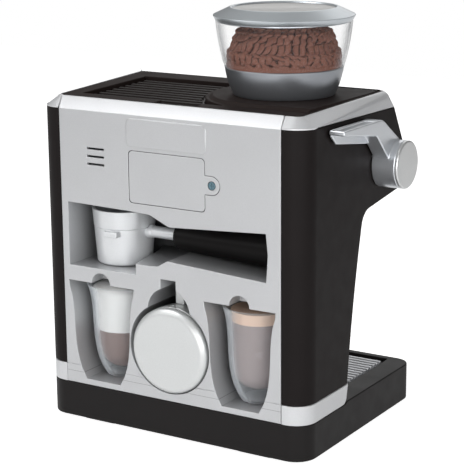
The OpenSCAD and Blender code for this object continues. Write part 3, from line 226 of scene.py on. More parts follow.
def uneven(tree, skin, colour, tone, rough, height, strength, depth):
    """Gives the shader a toned colour, a roughness and a relief of a strength and depth."""
    tree.links.new(shade(tree, colour, tone), skin.inputs["Base Color"])
    tree.links.new(rough, skin.inputs["Roughness"])
    bump = tree.nodes.new("ShaderNodeBump")
    bump.inputs["Strength"].default_value = strength
    bump.inputs["Distance"].default_value = depth
    tree.links.new(height, bump.inputs["Height"])
    tree.links.new(bump.outputs[0], skin.inputs["Normal"])
    return bump


def moulded(name, colour, rough, seed, pore=0.0006, depth=0.00002, mottle=0.05, gloss=0.2):
    """Injection-moulded plastic: a spark-eroded grain, faint cloudiness and uneven gloss."""
    made, tree, skin = started(name)
    skin.inputs["Specular IOR Level"].default_value = gloss
    uneven(tree, skin, colour,
           spread(tree, grain(tree, seed, 0.03, 3), 1 - mottle, 1 + mottle),
           spread(tree, grain(tree, seed + 1, 0.012, 2), rough - 0.03, rough + 0.03),
           grain(tree, seed + 2, pore, 2), 0.6, depth)
    return made


def linked(name, mesh):
    """A new object of the mesh, in the scene."""
    piece = bpy.data.objects.new(name, mesh)
    scene.collection.objects.link(piece)
    return piece


def rounded(piece, edge, steps=2, crease=40, clamp=False):
    """Rounds the piece's corners by edge metres where they are sharper than crease degrees."""
    rim = piece.modifiers.new("rim", "BEVEL")
    rim.width = edge
    rim.segments = steps
    rim.limit_method = "ANGLE"
    rim.angle_limit = math.radians(crease)
    rim.use_clamp_overlap = clamp
    return rim


def softened(name, node, edge, steps=2, crease=32):
    """A piece from a CAD node's solid, with its sharp corners rounded by edge metres."""
    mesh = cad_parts[node].data.copy()
    mesh.materials.clear()
    form = bmesh.new()
    form.from_mesh(mesh)
    bmesh.ops.remove_doubles(form, verts=form.verts, dist=3e-6)
    bmesh.ops.dissolve_limit(form, angle_limit=math.radians(0.5), verts=form.verts,
                             edges=form.edges)
    form.to_mesh(mesh)
    form.free()
    if "custom_normal" in mesh.attributes:
        mesh.attributes.remove(mesh.attributes["custom_normal"])
    piece = linked(name, mesh)
    if edge:
        rim = rounded(piece, edge, steps, crease)
        rim.harden_normals = False
        rim.miter_outer = "MITER_ARC"
        even = piece.modifiers.new("even", "WEIGHTED_NORMAL")
        even.keep_sharp = True
        even.weight = 80
    return settled(piece)


def smoothed(mesh, angle):
    """Smooth shading, but for edges sharper than an angle in degrees."""
    mesh.polygons.foreach_set("use_smooth", [True] * len(mesh.polygons))
    mesh.set_sharp_from_angle(angle=math.radians(angle))


def settled(piece, smooth=40):
    """The piece with its modifiers made plain mesh, and smooth up to an angle in degrees."""
    weighted = any(m.type == "WEIGHTED_NORMAL" for m in piece.modifiers)
    if weighted:
        smoothed(piece.data, 89)
    bpy.context.view_layer.update()
    graph = bpy.context.evaluated_depsgraph_get()
    done = bpy.data.meshes.new_from_object(piece.evaluated_get(graph))
    piece.modifiers.clear()
    piece.data = done
    if not weighted:
        smoothed(done, smooth)
    return piece


def dressed(piece, material, slot, body, *nodes):
    """Gives the piece its finish, its body and the CAD nodes it stands for."""
    if not piece.data.materials:
        piece.data.materials.append(material)
    piece.data.materials[0] = material
    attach(piece, body)
    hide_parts(*nodes)


def moulding(name, node, edge, material, slot, body="machine", **rounding):
    """A dressed piece whose form is one CAD node's."""
    dressed(softened(name, node, edge, **rounding), material, slot, body, node)


BLACK = swatch(21, 18, 18)
shell_black = moulded("shell_black", BLACK, 0.48, 1)
moulding("plinth", "base", 0.0007, shell_black, "black_plastic")

# The flat cover under the plinth, of the same black plastic, is let in between its walls.
moulding("underside", "base_plate", 0.0003, moulded("underside_black", BLACK, 0.55, 4),
         "black_plastic")


# ---------- foot pads ----------
# Four long soft rubber pads keep the toy still on a table.
# One pad is drawn as a rounded slab, and a grid of two by two sets them under the plinth.
def tree_start(name, **sockets):
    """A new tree with its inputs, each given as label=kind, and its input node."""
    tree = bpy.data.node_groups.new(name, "GeometryNodeTree")
    for label, kind in sockets.items():
        tree.interface.new_socket(name=label.replace("_", " "), in_out="INPUT",
                                  socket_type="NodeSocket" + kind)
    tree.interface.new_socket(name="Mesh", in_out="OUTPUT", socket_type="NodeSocketGeometry")
    return tree, tree.nodes.new("NodeGroupInput")


def tree_end(tree, given, shape):
    """Realize Instances and Set Material, which close each tree."""
    real = tree.nodes.new("GeometryNodeRealizeInstances")
    tree.links.new(shape, real.inputs[0])
    finish = tree.nodes.new("GeometryNodeSetMaterial")
    tree.links.new(real.outputs[0], finish.inputs["Geometry"])
    tree.links.new(given.outputs["Finish"], finish.inputs["Material"])
    out = tree.nodes.new("NodeGroupOutput")
    tree.links.new(finish.outputs[0], out.inputs[0])
    return tree


def rows_tree():
    """Copies of the incoming shape in rows, as plain mesh with one material."""
    tree, given = tree_start("rows", Shape="Geometry", Across="Int", Along="Int",
                             Step_across="Vector", Step_along="Vector", Start="Vector",
                             Finish="Material")
    shape = given.outputs["Shape"]
    for count, step, start in (("Along", "Step along", None), ("Across", "Step across", "Start")):
        line = tree.nodes.new("GeometryNodeMeshLine")
        line.mode = "OFFSET"
        tree.links.new(given.outputs[count], line.inputs["Count"])
        tree.links.new(given.outputs[step], line.inputs["Offset"])
        if start:
            tree.links.new(given.outputs[start], line.inputs["Start Location"])
        put = tree.nodes.new("GeometryNodeInstanceOnPoints")
        tree.links.new(line.outputs["Mesh"], put.inputs["Points"])
        tree.links.new(shape, put.inputs["Instance"])
        shape = put.outputs["Instances"]
    return tree_end(tree, given, shape)


def laid_out(piece, tree, **values):
    """Runs a tree on the piece with its inputs set by identifier, and keeps the mesh."""
    work = piece.modifiers.new("layout", "NODES")
    work.node_group = tree
    names = {s.name: s.identifier for s in tree.interface.items_tree
             if s.item_type == "SOCKET" and s.in_out == "INPUT"}
    for label, value in values.items():
        work[names[label.replace("_", " ")]] = value
    return settled(piece)


def from_bmesh(name, form):
    """A linked piece made of a bmesh."""
    mesh = bpy.data.meshes.new(name)
    bmesh.ops.remove_doubles(form, verts=form.verts, dist=1e-7)
    bmesh.ops.recalc_face_normals(form, faces=form.faces)
    form.to_mesh(mesh)
    form.free()
    return linked(name, mesh)


def slab(name, outline, low, high, edge):
    """An upright slab over an (x, y) outline, with its edges rounded."""
    form = bmesh.new()
    lower = [form.verts.new((x, y, low)) for x, y in outline]
    upper = [form.verts.new((x, y, high)) for x, y in outline]
    form.faces.new(lower[::-1])
    form.faces.new(upper)
    for i in range(len(outline)):
        j = (i + 1) % len(outline)
        form.faces.new((lower[i], lower[j], upper[j], upper[i]))
    piece = from_bmesh(name, form)
    rounded(piece, edge)
    return piece


def stadium(length, width, steps=12):
    """Outline of a slot shape along X, round at both ends."""
    r = width / 2
    turns = [math.pi * (i / steps - 0.5) for i in range(steps + 1)]
    right_end = [(length / 2 - r + r * math.cos(a), r * math.sin(a)) for a in turns]
    return right_end + [(-x, -y) for x, y in right_end]


rows = rows_tree()
feet_low, feet_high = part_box("feet")
PAD_L, PAD_W, PAD_EDGE = 0.034, 0.012, 0.0006
FEET_STEP = (feet_high.x - feet_low.x - PAD_L, feet_high.y - feet_low.y - PAD_W)
pad_rubber = moulded("pad_rubber", swatch(38, 37, 37), 0.8, 7, pore=0.0008, depth=0.00004,
                     gloss=0.3)
foot_pads = laid_out(
    slab("foot_pads", stadium(PAD_L, PAD_W), feet_low.z, feet_high.z, PAD_EDGE), rows,
    Across=2, Along=2, Step_across=(FEET_STEP[0], 0, 0), Step_along=(0, FEET_STEP[1], 0),
    Start=(feet_low.x + PAD_L / 2, feet_low.y + PAD_W / 2, 0), Finish=pad_rubber)
dressed(foot_pads, pad_rubber, "foot_rubber", "machine", "feet")


# ---------- plinth screws ----------
# Four zinc-plated cross-head screws hold the cover to the plinth's posts.
# One screw is turned head down and set at the four posts.
def brushed(name, colour, rough, seed):
    """Plated or brushed metal: bright, with fine uneven gloss and a trace of scratches."""
    made, tree, skin = started(name)
    skin.inputs["Metallic"].default_value = 1.0
    uneven(tree, skin, colour,
           spread(tree, grain(tree, seed, 0.004, 3), 0.93, 1.05),
           spread(tree, grain(tree, seed + 1, 0.0015, 4), rough - 0.06, rough + 0.06),
           grain(tree, seed + 2, 0.0004, 3), 0.4, 0.00001)
    return made


zinc = brushed("zinc", swatch(176, 182, 192), 0.34, 11)
screw_low, screw_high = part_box("base_screws")
HEAD_R = 0.0028
one_screw = softened("plinth_screws", "door_screw", 0.00012)
tip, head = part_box("door_screw")
one_screw.data.transform(Matrix.Rotation(math.radians(-90), 4, "X") @ Matrix.Translation(
    (-(tip.x + head.x) / 2, -head.y, -(tip.z + head.z) / 2)))
one_screw.data.transform(Matrix.Diagonal(
    (1, 1, (screw_high.z - screw_low.z) / (head.y - tip.y), 1)))
if min(v.co.z for v in one_screw.data.vertices) < -1e-5:
    one_screw.data.transform(Matrix.Rotation(math.pi, 4, "X"))
plinth_screws = laid_out(
    one_screw, rows, Across=2, Along=2,
    Step_across=(screw_high.x - screw_low.x - 2 * HEAD_R, 0, 0),
    Step_along=(0, screw_high.y - screw_low.y - 2 * HEAD_R, 0),
    Start=(screw_low.x + HEAD_R, screw_low.y + HEAD_R, screw_low.z), Finish=zinc)
dressed(plinth_screws, zinc, "zinc", "machine", "base_screws")


# ---------- drip grille ----------
# The loose grille is one silver moulding: a thin frame with a spine and rounded slats.
# The slats are one bar repeated by a fixed pitch, each with a web that joins the frame.
FLAKE_SIZE = 0.00028


def flaked(name, colour, rough, seed, metal=0.55, mottle=0.02, orange=0.000002, edge=0.0):
    """Silver paint on plastic: metal flakes in a clear binder with a faint orange peel.

    With an edge in metres, light rolls over the corners as it does on a rounded mould edge.
    """
    made, tree, skin = started(name)
    skin.inputs["Metallic"].default_value = metal
    skin.inputs["Specular IOR Level"].default_value = 0.5
    place = tree.nodes.new("ShaderNodeTexCoord")
    flake = tree.nodes.new("ShaderNodeTexVoronoi")
    flake.inputs["Scale"].default_value = 1 / FLAKE_SIZE
    tree.links.new(place.outputs["Object"], flake.inputs["Vector"])
    glint = tree.nodes.new("ShaderNodeSeparateColor")
    tree.links.new(flake.outputs["Color"], glint.inputs[0])
    sparkle = ramp(tree, glint.outputs[0], (0, 1), (0.97, 1.03))
    cloud = spread(tree, grain(tree, seed, 0.05, 2), 1 - mottle, 1 + mottle)
    bump = uneven(tree, skin, colour, maths(tree, "MULTIPLY", sparkle, cloud),
                  spread(tree, grain(tree, seed + 1, 0.01, 2), rough - 0.025, rough + 0.025),
                  grain(tree, seed + 2, 0.0011, 2), 0.5, orange)
    if edge:
        corner = tree.nodes.new("ShaderNodeBevel")
        corner.samples = 6
        corner.inputs["Radius"].default_value = edge
        tree.links.new(corner.outputs[0], bump.inputs["Normal"])
    return made


def bars(name, boxes, edge, steps=2):
    """Closed blocks given by their corners, as one piece with rounded edges."""
    form = bmesh.new()
    for x0, y0, z0, x1, y1, z1 in boxes:
        block = bmesh.ops.create_cube(form, size=1)
        for v in block["verts"]:
            v.co = Vector((x0 + (v.co.x + 0.5) * (x1 - x0), y0 + (v.co.y + 0.5) * (y1 - y0),
                           z0 + (v.co.z + 0.5) * (z1 - z0)))
    mesh = bpy.data.meshes.new(name)
    form.to_mesh(mesh)
    form.free()
    piece = linked(name, mesh)
    rounded(piece, edge, steps, clamp=True)
    return settled(piece)


def joined(name, *parts):
    """Several linked pieces made into one."""
    with bpy.context.temp_override(active_object=parts[0], selected_editable_objects=parts,
                                   object=parts[0], selected_objects=parts):
        bpy.ops.object.join()
    parts[0].name = name
    return parts[0]


grille_low, grille_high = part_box("drip_grille")
SLAT_PITCH, SLAT_W, SLAT_COUNT = 0.005, 0.0029, 17
FRAME_W, FRAME_T, SPINE_W = 0.0025, 0.0022, 0.006
SLAT_EDGE, WEB_EDGE, FRAME_EDGE = 0.0008, 0.0002, 0.0003
# A slat starts a little inside the web under it, and the web ends inside the frame.
SLAT_SUNK, WEB_SHORT, FRAME_LAP = 0.0003, 0.001, 0.003
slat_half = (grille_high.x - grille_low.x) / 2 - FRAME_W
first_slat = (grille_low.y + grille_high.y) / 2 - (SLAT_COUNT - 1) / 2 * SLAT_PITCH
last_slat = first_slat + (SLAT_COUNT - 1) * SLAT_PITCH
frame_top = grille_low.z + FRAME_T
grille_silver = flaked("grille_silver", swatch(222, 223, 226), 0.36, 14)
slat = bars("grille_slats", [(-slat_half, -SLAT_W / 2, frame_top - SLAT_SUNK,
                              slat_half, SLAT_W / 2, grille_high.z)], SLAT_EDGE, 3)
web = bars("grille_webs", [(-slat_half + WEB_SHORT, -SLAT_W / 2, grille_low.z,
                            slat_half - WEB_SHORT, SLAT_W / 2, frame_top)], WEB_EDGE)
slats = laid_out(joined("grille_slats", slat, web), rows, Across=1, Along=SLAT_COUNT,
                 Step_across=(0, 0, 0), Step_along=(0, SLAT_PITCH, 0), Start=(0, first_slat, 0),
                 Finish=grille_silver)
frame_in = slat_half - FRAME_LAP
grille_frame = bars("grille_frame", [
    (x0, y0, grille_low.z, x1, y1, frame_top) for x0, y0, x1, y1 in (
        (grille_low.x, grille_low.y, grille_high.x, first_slat),
        (grille_low.x, last_slat, grille_high.x, grille_high.y),
        (grille_low.x, grille_low.y, -frame_in, grille_high.y),
        (frame_in, grille_low.y, grille_high.x, grille_high.y),
        (-SPINE_W / 2, grille_low.y, SPINE_W / 2, grille_high.y))], FRAME_EDGE)
grille_frame.data.materials.append(grille_silver)
dressed(joined("drip_grille_moulding", slats, grille_frame), grille_silver, "bright_silver",
        "drip_grille", "drip_grille")


# ---------- shell ----------
# Tower, head and side walls are one hollow satin black moulding, open at the back and top.
# The lever's bore stands in a boss on its lever side.
shell_satin = moulded("shell_satin", swatch(28, 24, 24), 0.5, 17, pore=0.0007, gloss=0.1)
moulding("shell", "body_shell", 0.0006, shell_satin, "black_plastic")


# ---------- lower bands ----------
# A silver painted strip wraps the foot of each side wall and turns onto the back.
# It stops short at the front, where the tower's edge runs up.
trim_silver = flaked("trim_silver", swatch(216, 217, 219), 0.34, 20, metal=0.35)
moulding("foot_bands", "lower_bands", 0.00035, trim_silver, "bright_silver")


# ---------- back panel ----------
# The silver back is one moulding with pockets for two cups, a jug and the portafilter.
# Its pocket mouths have a small soft radius, which the finish gives them. Speaker slots,
# door opening and a bare plaque are moulded in.
def scaled(made, factor_out):
    """Multiplies a finish's colour by a socket whose value is one where nothing changes."""
    tree = made.node_tree
    colour = tree.nodes["Principled BSDF"].inputs["Base Color"]
    tree.links.new(shade(tree, colour.links[0].from_socket, factor_out), colour)


PANEL_TINT = swatch(200, 201, 203)
panel_silver = flaked("panel_silver", PANEL_TINT, 0.36, 23, metal=0.5, edge=0.0008)
back_silver = flaked("back_silver", PANEL_TINT, 0.36, 23, metal=0.5, edge=0.0008)
tree = back_silver.node_tree
at = parted(tree, tree.nodes.new("ShaderNodeTexCoord").outputs["Object"])
# Painted shade: the colour darkens deep in the pockets, where less light reaches.
POCKET_SHADE_START, POCKET_SHADE_END, POCKET_SHADE_TONE = 0.002, 0.05, 0.22
back_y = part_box("rear_panel")[1].y
scaled(back_silver, ramp(tree, at["Y"], (back_y - POCKET_SHADE_START, back_y - POCKET_SHADE_END),
                         (1, POCKET_SHADE_TONE)))
# A fine parting line crosses the panel near its foot.
SEAM_Z, SEAM_HALF, SEAM_TONE = 0.0349, 0.00013, 0.4
scaled(back_silver, ramp(tree, maths(tree, "COMPARE", at["Z"], SEAM_Z, SEAM_HALF), (0, 1),
                         (1, SEAM_TONE)))
# The sloping bevel along the top is painted brighter: partly the brighter coat of the side bevels,
# partly a painted highlight for the strong light from above.
BEVEL_Z, BEVEL_BLEND, BEVEL_LIGHT_TONE = 0.2279, 0.0001, 1.42
scaled(back_silver, ramp(tree, at["Z"], (BEVEL_Z - BEVEL_BLEND, BEVEL_Z + BEVEL_BLEND),
                         (1, BEVEL_LIGHT_TONE)))
# Painted shade: the panel is painted dark in the narrow gap round the battery door.
GAP_REACH, GAP_SKIN, GAP_SHADE_TONE = 0.0008, 0.0001, 0.12
door_low, door_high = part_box("battery_door")
gap_shade = maths(tree, "LESS_THAN", at["Y"], door_high.y - GAP_SKIN)
for axis, low, high in (("X", door_low.x, door_high.x), ("Z", door_low.z, door_high.z)):
    near = maths(tree, "COMPARE", at[axis], (low + high) / 2, (high - low) / 2 + GAP_REACH)
    gap_shade = maths(tree, "MULTIPLY", gap_shade, near)
scaled(back_silver, ramp(tree, gap_shade, (0, 1), (1, GAP_SHADE_TONE)))
moulding("back_panel", "rear_panel", 0.0, back_silver, "silver_plastic")


# ---------- top bevels ----------
# Bright silver bevels run along the tops of both side walls and round the back corners.
# They lie between shell and top cover, and have the same paint as the lower bands.
moulding("top_bevels", "side_trims", 0.0005, trim_silver, "bright_silver", crease=25)


# ---------- top cover ----------
# The brown-black top carries the cup tray, its finger notch and the hopper's platform.
# It is satin, and a touch browner than the shell.
top_black = moulded("top_black", swatch(38, 30, 28), 0.6, 26, depth=0.00003, gloss=0.1)
moulding("top_cover_moulding", "top_cover", 0.0006, top_black, "black_plastic")


# ---------- cup tray ----------
# A ribbed insert lies in the cover's sunk tray, cut round where the hopper stands.
# It is a touch darker and smoother than the cover.
tray_black = moulded("tray_black", swatch(34, 28, 26), 0.46, 29)
moulding("cup_tray_insert", "cup_tray", 0.0005, tray_black, "dark_plastic")


# ---------- hopper bowl ----------
# The bean hopper stands on a dark metallic bowl that flares a little to its rim.
# It is a plastic moulding with a smooth coat of metal paint.
hopper_silver = flaked("hopper_silver", swatch(152, 155, 160), 0.315, 32, metal=0.8,
                       orange=0.0000003)
moulding("hopper_bowl_moulding", "hopper_bowl", 0.0005, hopper_silver, "hopper_silver")


# ---------- hopper jar ----------
# A clear flaring ring of thin plastic stands on the bowl round the coffee.
# Where it turns edge on to the eye, its wall looks pale.
def clear(name, colour, seed, face=0.02, rim=0.5, turned=0.45):
    """Thin clear plastic: see-through where it faces the eye, a pale wall where it is edge on.

    face and rim are how much the wall hides in either case, and turned is where rim begins.
    """
    made, tree, skin = started(name)
    tree.links.new(shade(tree, colour, spread(tree, grain(tree, seed, 0.02, 2), 0.97, 1.0)),
                   skin.inputs["Base Color"])
    tree.links.new(spread(tree, grain(tree, seed + 1, 0.008, 2), 0.03, 0.06),
                   skin.inputs["Roughness"])
    slant = tree.nodes.new("ShaderNodeLayerWeight")
    wall = tree.nodes.new("ShaderNodeMapRange")
    wall.interpolation_type = "SMOOTHSTEP"
    wall.inputs["From Min"].default_value = turned
    wall.inputs["To Min"].default_value = face
    wall.inputs["To Max"].default_value = rim
    tree.links.new(slant.outputs["Facing"], wall.inputs["Value"])
    tree.links.new(wall.outputs[0], skin.inputs["Alpha"])
    return made


jar_clear = clear("jar_clear", (0.66, 0.69, 0.72), 35)
moulding("hopper_jar_ring", "hopper_jar", 0.0004, jar_clear, "clear_plastic")


# ---------- mound of coffee ----------
# The coffee is one brown moulding: a steep heap on a smooth ring, covered by rows of small
# overlapping scales that lean sideways. Its relief is pressed in from the solid's side.
mound_low, mound_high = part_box("coffee_grounds")
mound_at = (mound_low + mound_high) / 2
widest = (mound_high.x - mound_low.x) / 2
# The side in millimetres, from foot to crown: height, and how far it lies in from the widest.
MOUND_SIDE = np.array(((0, 0.6), (2, 0.6), (2.6, 0.9), (4.4, 0), (9.4, 0), (11.8, 0.5),
                       (13.8, 2.6), (16, 3), (20, 3.9), (22, 5), (25.6, 6.6), (27, 9.6),
                       (29, 11), (30.2, 18), (30.5, 40.2))) / 1000
# Rows of scales: start up the side and length in metres, how many scales, and their lean.
SCALE_ROWS = ((0.0020, 0.0090, 40, -1.6), (0.0040, 0.0115, 44, 1.7), (0.0085, 0.0080, 40, -1.2),
              (0.0135, 0.0090, 46, 1.9), (0.0195, 0.0090, 46, 1.8), (0.0255, 0.0095, 42, 1.6),
              (0.0320, 0.0090, 36, 1.3), (0.0385, 0.0100, 28, 0.9), (0.0450, 0.0110, 18, 0.7))
RELIEF = 0.0034
# The relief begins above the plain foot and dies away before the middle of the crown.
PLAIN_FOOT, FOOT_FADE, CROWN_FADE = 0.0026, 0.0022, 0.006
AROUND, SIDE_RINGS, CROWN_RINGS = 620, 118, 34
CROWN_FROM, CROWN_DROP = 0.036, 0.0001
side_r = widest - MOUND_SIDE[:, 1]
side_z = mound_low.z + MOUND_SIDE[:, 0]
along = np.concatenate(([0], np.cumsum(np.hypot(np.diff(side_r), np.diff(side_z)))))
# The rings lie close up the side and wider apart over the flat crown.
walk = np.concatenate((np.linspace(0, CROWN_FROM, SIDE_RINGS, endpoint=False),
                       np.linspace(CROWN_FROM, along[-1], CROWN_RINGS)))
turn = np.linspace(0, 2 * math.pi, AROUND, endpoint=False)
plain_r = np.interp(walk, along, side_r)
plain_z = np.interp(walk, along, side_z)
# The outward direction at each ring is evened out, so that scales don't crowd at a corner.
out_r, out_z = np.gradient(plain_z), -np.gradient(plain_r)
length = np.maximum(np.hypot(out_r, out_z), 1e-9)
for _ in range(6):
    out_r, out_z = (np.convolve(np.pad(way / length, 2, "edge"), np.ones(5) / 5, "valid")
                    for way in (out_r, out_z))
    length = np.maximum(np.hypot(out_r, out_z), 1e-9)
# Each scale is a rounded ridge, varied a little in place, length, width, bend and height.
rng = np.random.default_rng(7)
raised = np.zeros((len(walk), AROUND))
for start, reach, count, lean in SCALE_ROWS:
    for i in range(count):
        at = 2 * math.pi * (i + rng.uniform(-0.25, 0.25)) / count
        low = start + rng.uniform(-0.0018, 0.0018)
        t = (walk - low) / (reach * rng.uniform(0.8, 1.2))
        half = math.pi / count * rng.uniform(0.85, 1.15)
        wide = (turn[None, :] - at + math.pi) % (2 * math.pi) - math.pi
        bend = lean * (t - 0.5) + 0.35 * np.sin(6 * t + rng.uniform(-1, 1))
        u = wide / half - bend[:, None]
        roll = np.clip(1 - np.abs(u) ** 3, 0, None) ** 0.5
        ends = np.clip(4 * t * (1 - t), 0, 1) ** 0.4 * (t > 0) * (t < 1)
        lift = roll * (ends * (0.72 + 0.28 * np.cos(math.pi * t)) * rng.uniform(0.82, 1))[:, None]
        raised = np.maximum(raised, lift)
fade = (np.clip((walk - PLAIN_FOOT) / FOOT_FADE, 0, 1)
        * np.clip((along[-1] - walk) / CROWN_FADE, 0, 1))
sunk = RELIEF * (1 - raised) * fade[:, None]
radius = plain_r[:, None] - sunk * (out_r / length)[:, None]
height = plain_z[:, None] - sunk * (out_z / length)[:, None]
form = bmesh.new()
rings = [[form.verts.new((mound_at.x + radius[k, i] * math.cos(turn[i]),
                          mound_at.y + radius[k, i] * math.sin(turn[i]), height[k, i]))
          for i in range(AROUND)] for k in range(len(walk))]
for below, above in zip(rings, rings[1:]):
    for i in range(AROUND):
        j = (i + 1) % AROUND
        form.faces.new((below[i], below[j], above[j], above[i]))
form.faces.new(rings[0][::-1])
crown = form.verts.new((mound_at.x, mound_at.y, mound_high.z - CROWN_DROP))
for i in range(AROUND):
    form.faces.new((rings[-1][i], rings[-1][(i + 1) % AROUND], crown))
# How deep each point lies below its surroundings, as a share of a full crease, which sets the
# mound's painted crease shade.
FULL_CREASE = 0.1
around = sunk.copy()
for step in (1, 2, 3):
    padded = np.pad(around, ((step, step), (0, 0)), "edge")
    around = (padded[2 * step:] + padded[:-2 * step] + np.roll(around, step, 1)
              + np.roll(around, -step, 1) + around) / 5
crease = np.append(np.clip((sunk - around) / (FULL_CREASE * RELIEF), 0, 1).ravel(), 0.0)
mesh = bpy.data.meshes.new("coffee_mound")
bmesh.ops.recalc_face_normals(form, faces=form.faces)
form.to_mesh(mesh)
form.free()
mesh.attributes.new("crease", "FLOAT", "POINT").data.foreach_set("value", crease)
mound_brown = moulded("mound_brown", swatch(128, 85, 71), 0.6, 38, pore=0.0007,
                      depth=0.00006, mottle=0.08)
# Painted shade: the colour is darker in the creases between the scales.
CREASE_SHADE_TONE = 0.22
tree = mound_brown.node_tree
crease_shade = tree.nodes.new("ShaderNodeAttribute")
crease_shade.attribute_name = "crease"
scaled(mound_brown, ramp(tree, crease_shade.outputs["Fac"], (0, 1), (1, CREASE_SHADE_TONE)))
dressed(settled(linked("coffee_mound", mesh), 60), mound_brown, "grounds_brown", "machine",
        "coffee_grounds")


# ---------- hopper lid ----------
# The loose silver lid has a wide sloping brim and a flat disc sunk in a raised ring.
# A short skirt tapers in under the brim's edge, and a plug fits inside the jar.
def lathe(name, centre, side, steps=144):
    """A closed piece turned about Z from (radius, height) pairs that start and end on the axis."""
    form = bmesh.new()
    ends = [form.verts.new((centre.x, centre.y, z)) for _, z in (side[0], side[-1])]
    spokes = [2 * math.pi * i / steps for i in range(steps)]
    loops = [[form.verts.new((centre.x + r * math.cos(a), centre.y + r * math.sin(a), z))
              for a in spokes] for r, z in side[1:-1]]
    for i in range(steps):
        j = (i + 1) % steps
        form.faces.new((ends[0], loops[0][j], loops[0][i]))
        form.faces.new((ends[1], loops[-1][i], loops[-1][j]))
        for below, above in zip(loops, loops[1:]):
            form.faces.new((below[i], below[j], above[j], above[i]))
    return from_bmesh(name, form)


lid_silver = flaked("lid_silver", swatch(192, 198, 202), 0.32, 41, metal=0.75)
lid_low, lid_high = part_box("hopper_lid")
# The lid's side in millimetres from its axis and foot: plug, skirt, brim, ring and disc.
LID_SIDE = ((0, 4.5), (43.9, 4.5), (43.9, 2.2), (45.3, 2.2), (45.5, 2.4), (45.5, 3.2), (47.2, 3.2),
            (47.5, 3.4), (49.05, 6.3), (49.2, 6.7), (49.05, 7), (48.6, 7.2), (38.6, 11.9),
            (37.8, 12.25), (37, 12.4), (36.3, 12.25), (36, 12), (35.6, 11.2), (35.2, 11), (0, 11))
lid_at = (lid_low + lid_high) / 2
# The sunk disc has a warmer, duller coat than the brim.
DISC_R = 0.0355
tree = lid_silver.node_tree
at = parted(tree, tree.nodes.new("ShaderNodeTexCoord").outputs["Object"])
off_x = maths(tree, "SUBTRACT", at["X"], lid_at.x)
off_y = maths(tree, "SUBTRACT", at["Y"], lid_at.y)
from_middle = maths(tree, "SQRT", maths(tree, "MULTIPLY_ADD", off_x, off_x,
                                        maths(tree, "MULTIPLY", off_y, off_y)))
coat = tree.nodes.new("ShaderNodeMix")
coat.data_type = "RGBA"
coat.inputs["B"].default_value = (*swatch(155, 154, 152), 1)
colour = tree.nodes["Principled BSDF"].inputs["Base Color"]
tree.links.new(maths(tree, "LESS_THAN", from_middle, DISC_R), coat.inputs["Factor"])
tree.links.new(colour.links[0].from_socket, coat.inputs["A"])
tree.links.new(coat.outputs["Result"], colour)
dressed(settled(lathe("hopper_lid_moulding", lid_at,
                      [(r / 1000, lid_low.z + z / 1000) for r, z in LID_SIDE]), 35),
        lid_silver, "silver_plastic", "hopper_lid", "hopper_lid")


# ---------- lever ----------
# The side lever is a silver arm grown out of a drum, with a polished end cap.
# A steel axle turns in the shell and is held inside by a clip.
lever_silver = flaked("lever_silver", swatch(216, 219, 223), 0.3, 44, metal=0.8)
moulding("lever_arm_moulding", "lever_arm", 0.0007, lever_silver, "silver_plastic", "lever")
cap_silver = flaked("cap_silver", swatch(210, 211, 211), 0.31, 47, metal=0.8, orange=0.0000003)
moulding("lever_end_cap", "lever_cap", 0.0003, cap_silver, "silver_plastic", "lever")
axle_steel = brushed("axle_steel", swatch(168, 170, 174), 0.3, 50)
moulding("lever_axle_rod", "lever_axle", 0.0003, axle_steel, "zinc", "lever")
moulding("lever_clip_ring", "lever_clip", 0.0002, axle_steel, "zinc", "lever")


# ---------- battery bay ----------
# A black box behind the door holds two cells; strip contacts with coil springs touch them.
# Each spring is a wire wound on a tapering spiral, welded to its strip.
bay_black = moulded("bay_black", BLACK, 0.6, 53)
moulding("battery_bay", "battery_box", 0.0003, bay_black, "black_plastic")
cell_wrap = moulded("cell_wrap", swatch(48, 74, 120), 0.3, 56, gloss=0.5)
moulding("battery_cell_pair", "battery_cells", 0.0003, cell_wrap, "cell_wrap")


def spring_tree():
    """A coil spring along Z: wire of a given radius wound on a tapering spiral."""
    tree, given = tree_start("spring", Turns="Float", Foot_radius="Float", Tip_radius="Float",
                             Length="Float", Wire_radius="Float", Place="Vector", Turn="Vector",
                             Finish="Material")
    coil = tree.nodes.new("GeometryNodeCurveSpiral")
    coil.inputs["Resolution"].default_value = 24
    for label, socket in (("Turns", "Rotations"), ("Foot radius", "Start Radius"),
                          ("Tip radius", "End Radius"), ("Length", "Height")):
        tree.links.new(given.outputs[label], coil.inputs[socket])
    wire = tree.nodes.new("GeometryNodeCurvePrimitiveCircle")
    wire.inputs["Resolution"].default_value = 8
    tree.links.new(given.outputs["Wire radius"], wire.inputs["Radius"])
    sweep = tree.nodes.new("GeometryNodeCurveToMesh")
    sweep.inputs["Fill Caps"].default_value = True
    tree.links.new(coil.outputs[0], sweep.inputs["Curve"])
    tree.links.new(wire.outputs[0], sweep.inputs["Profile Curve"])
    set_down = tree.nodes.new("GeometryNodeTransform")
    tree.links.new(sweep.outputs[0], set_down.inputs["Geometry"])
    tree.links.new(given.outputs["Place"], set_down.inputs["Translation"])
    tree.links.new(given.outputs["Turn"], set_down.inputs["Rotation"])
    return tree_end(tree, given, set_down.outputs[0])


spring_steel = brushed("spring_steel", swatch(186, 186, 180), 0.28, 59)
contact_low, contact_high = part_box("battery_contacts")
STRIP_T, STRIP_HALF, STRIP_EDGE = 0.0004, 0.005, 0.0001
CELL_DROP = 0.0075
COIL_TURNS, COIL_FOOT_R, COIL_TIP_R, WIRE_R = 4.0, 0.0046, 0.003, 0.00035
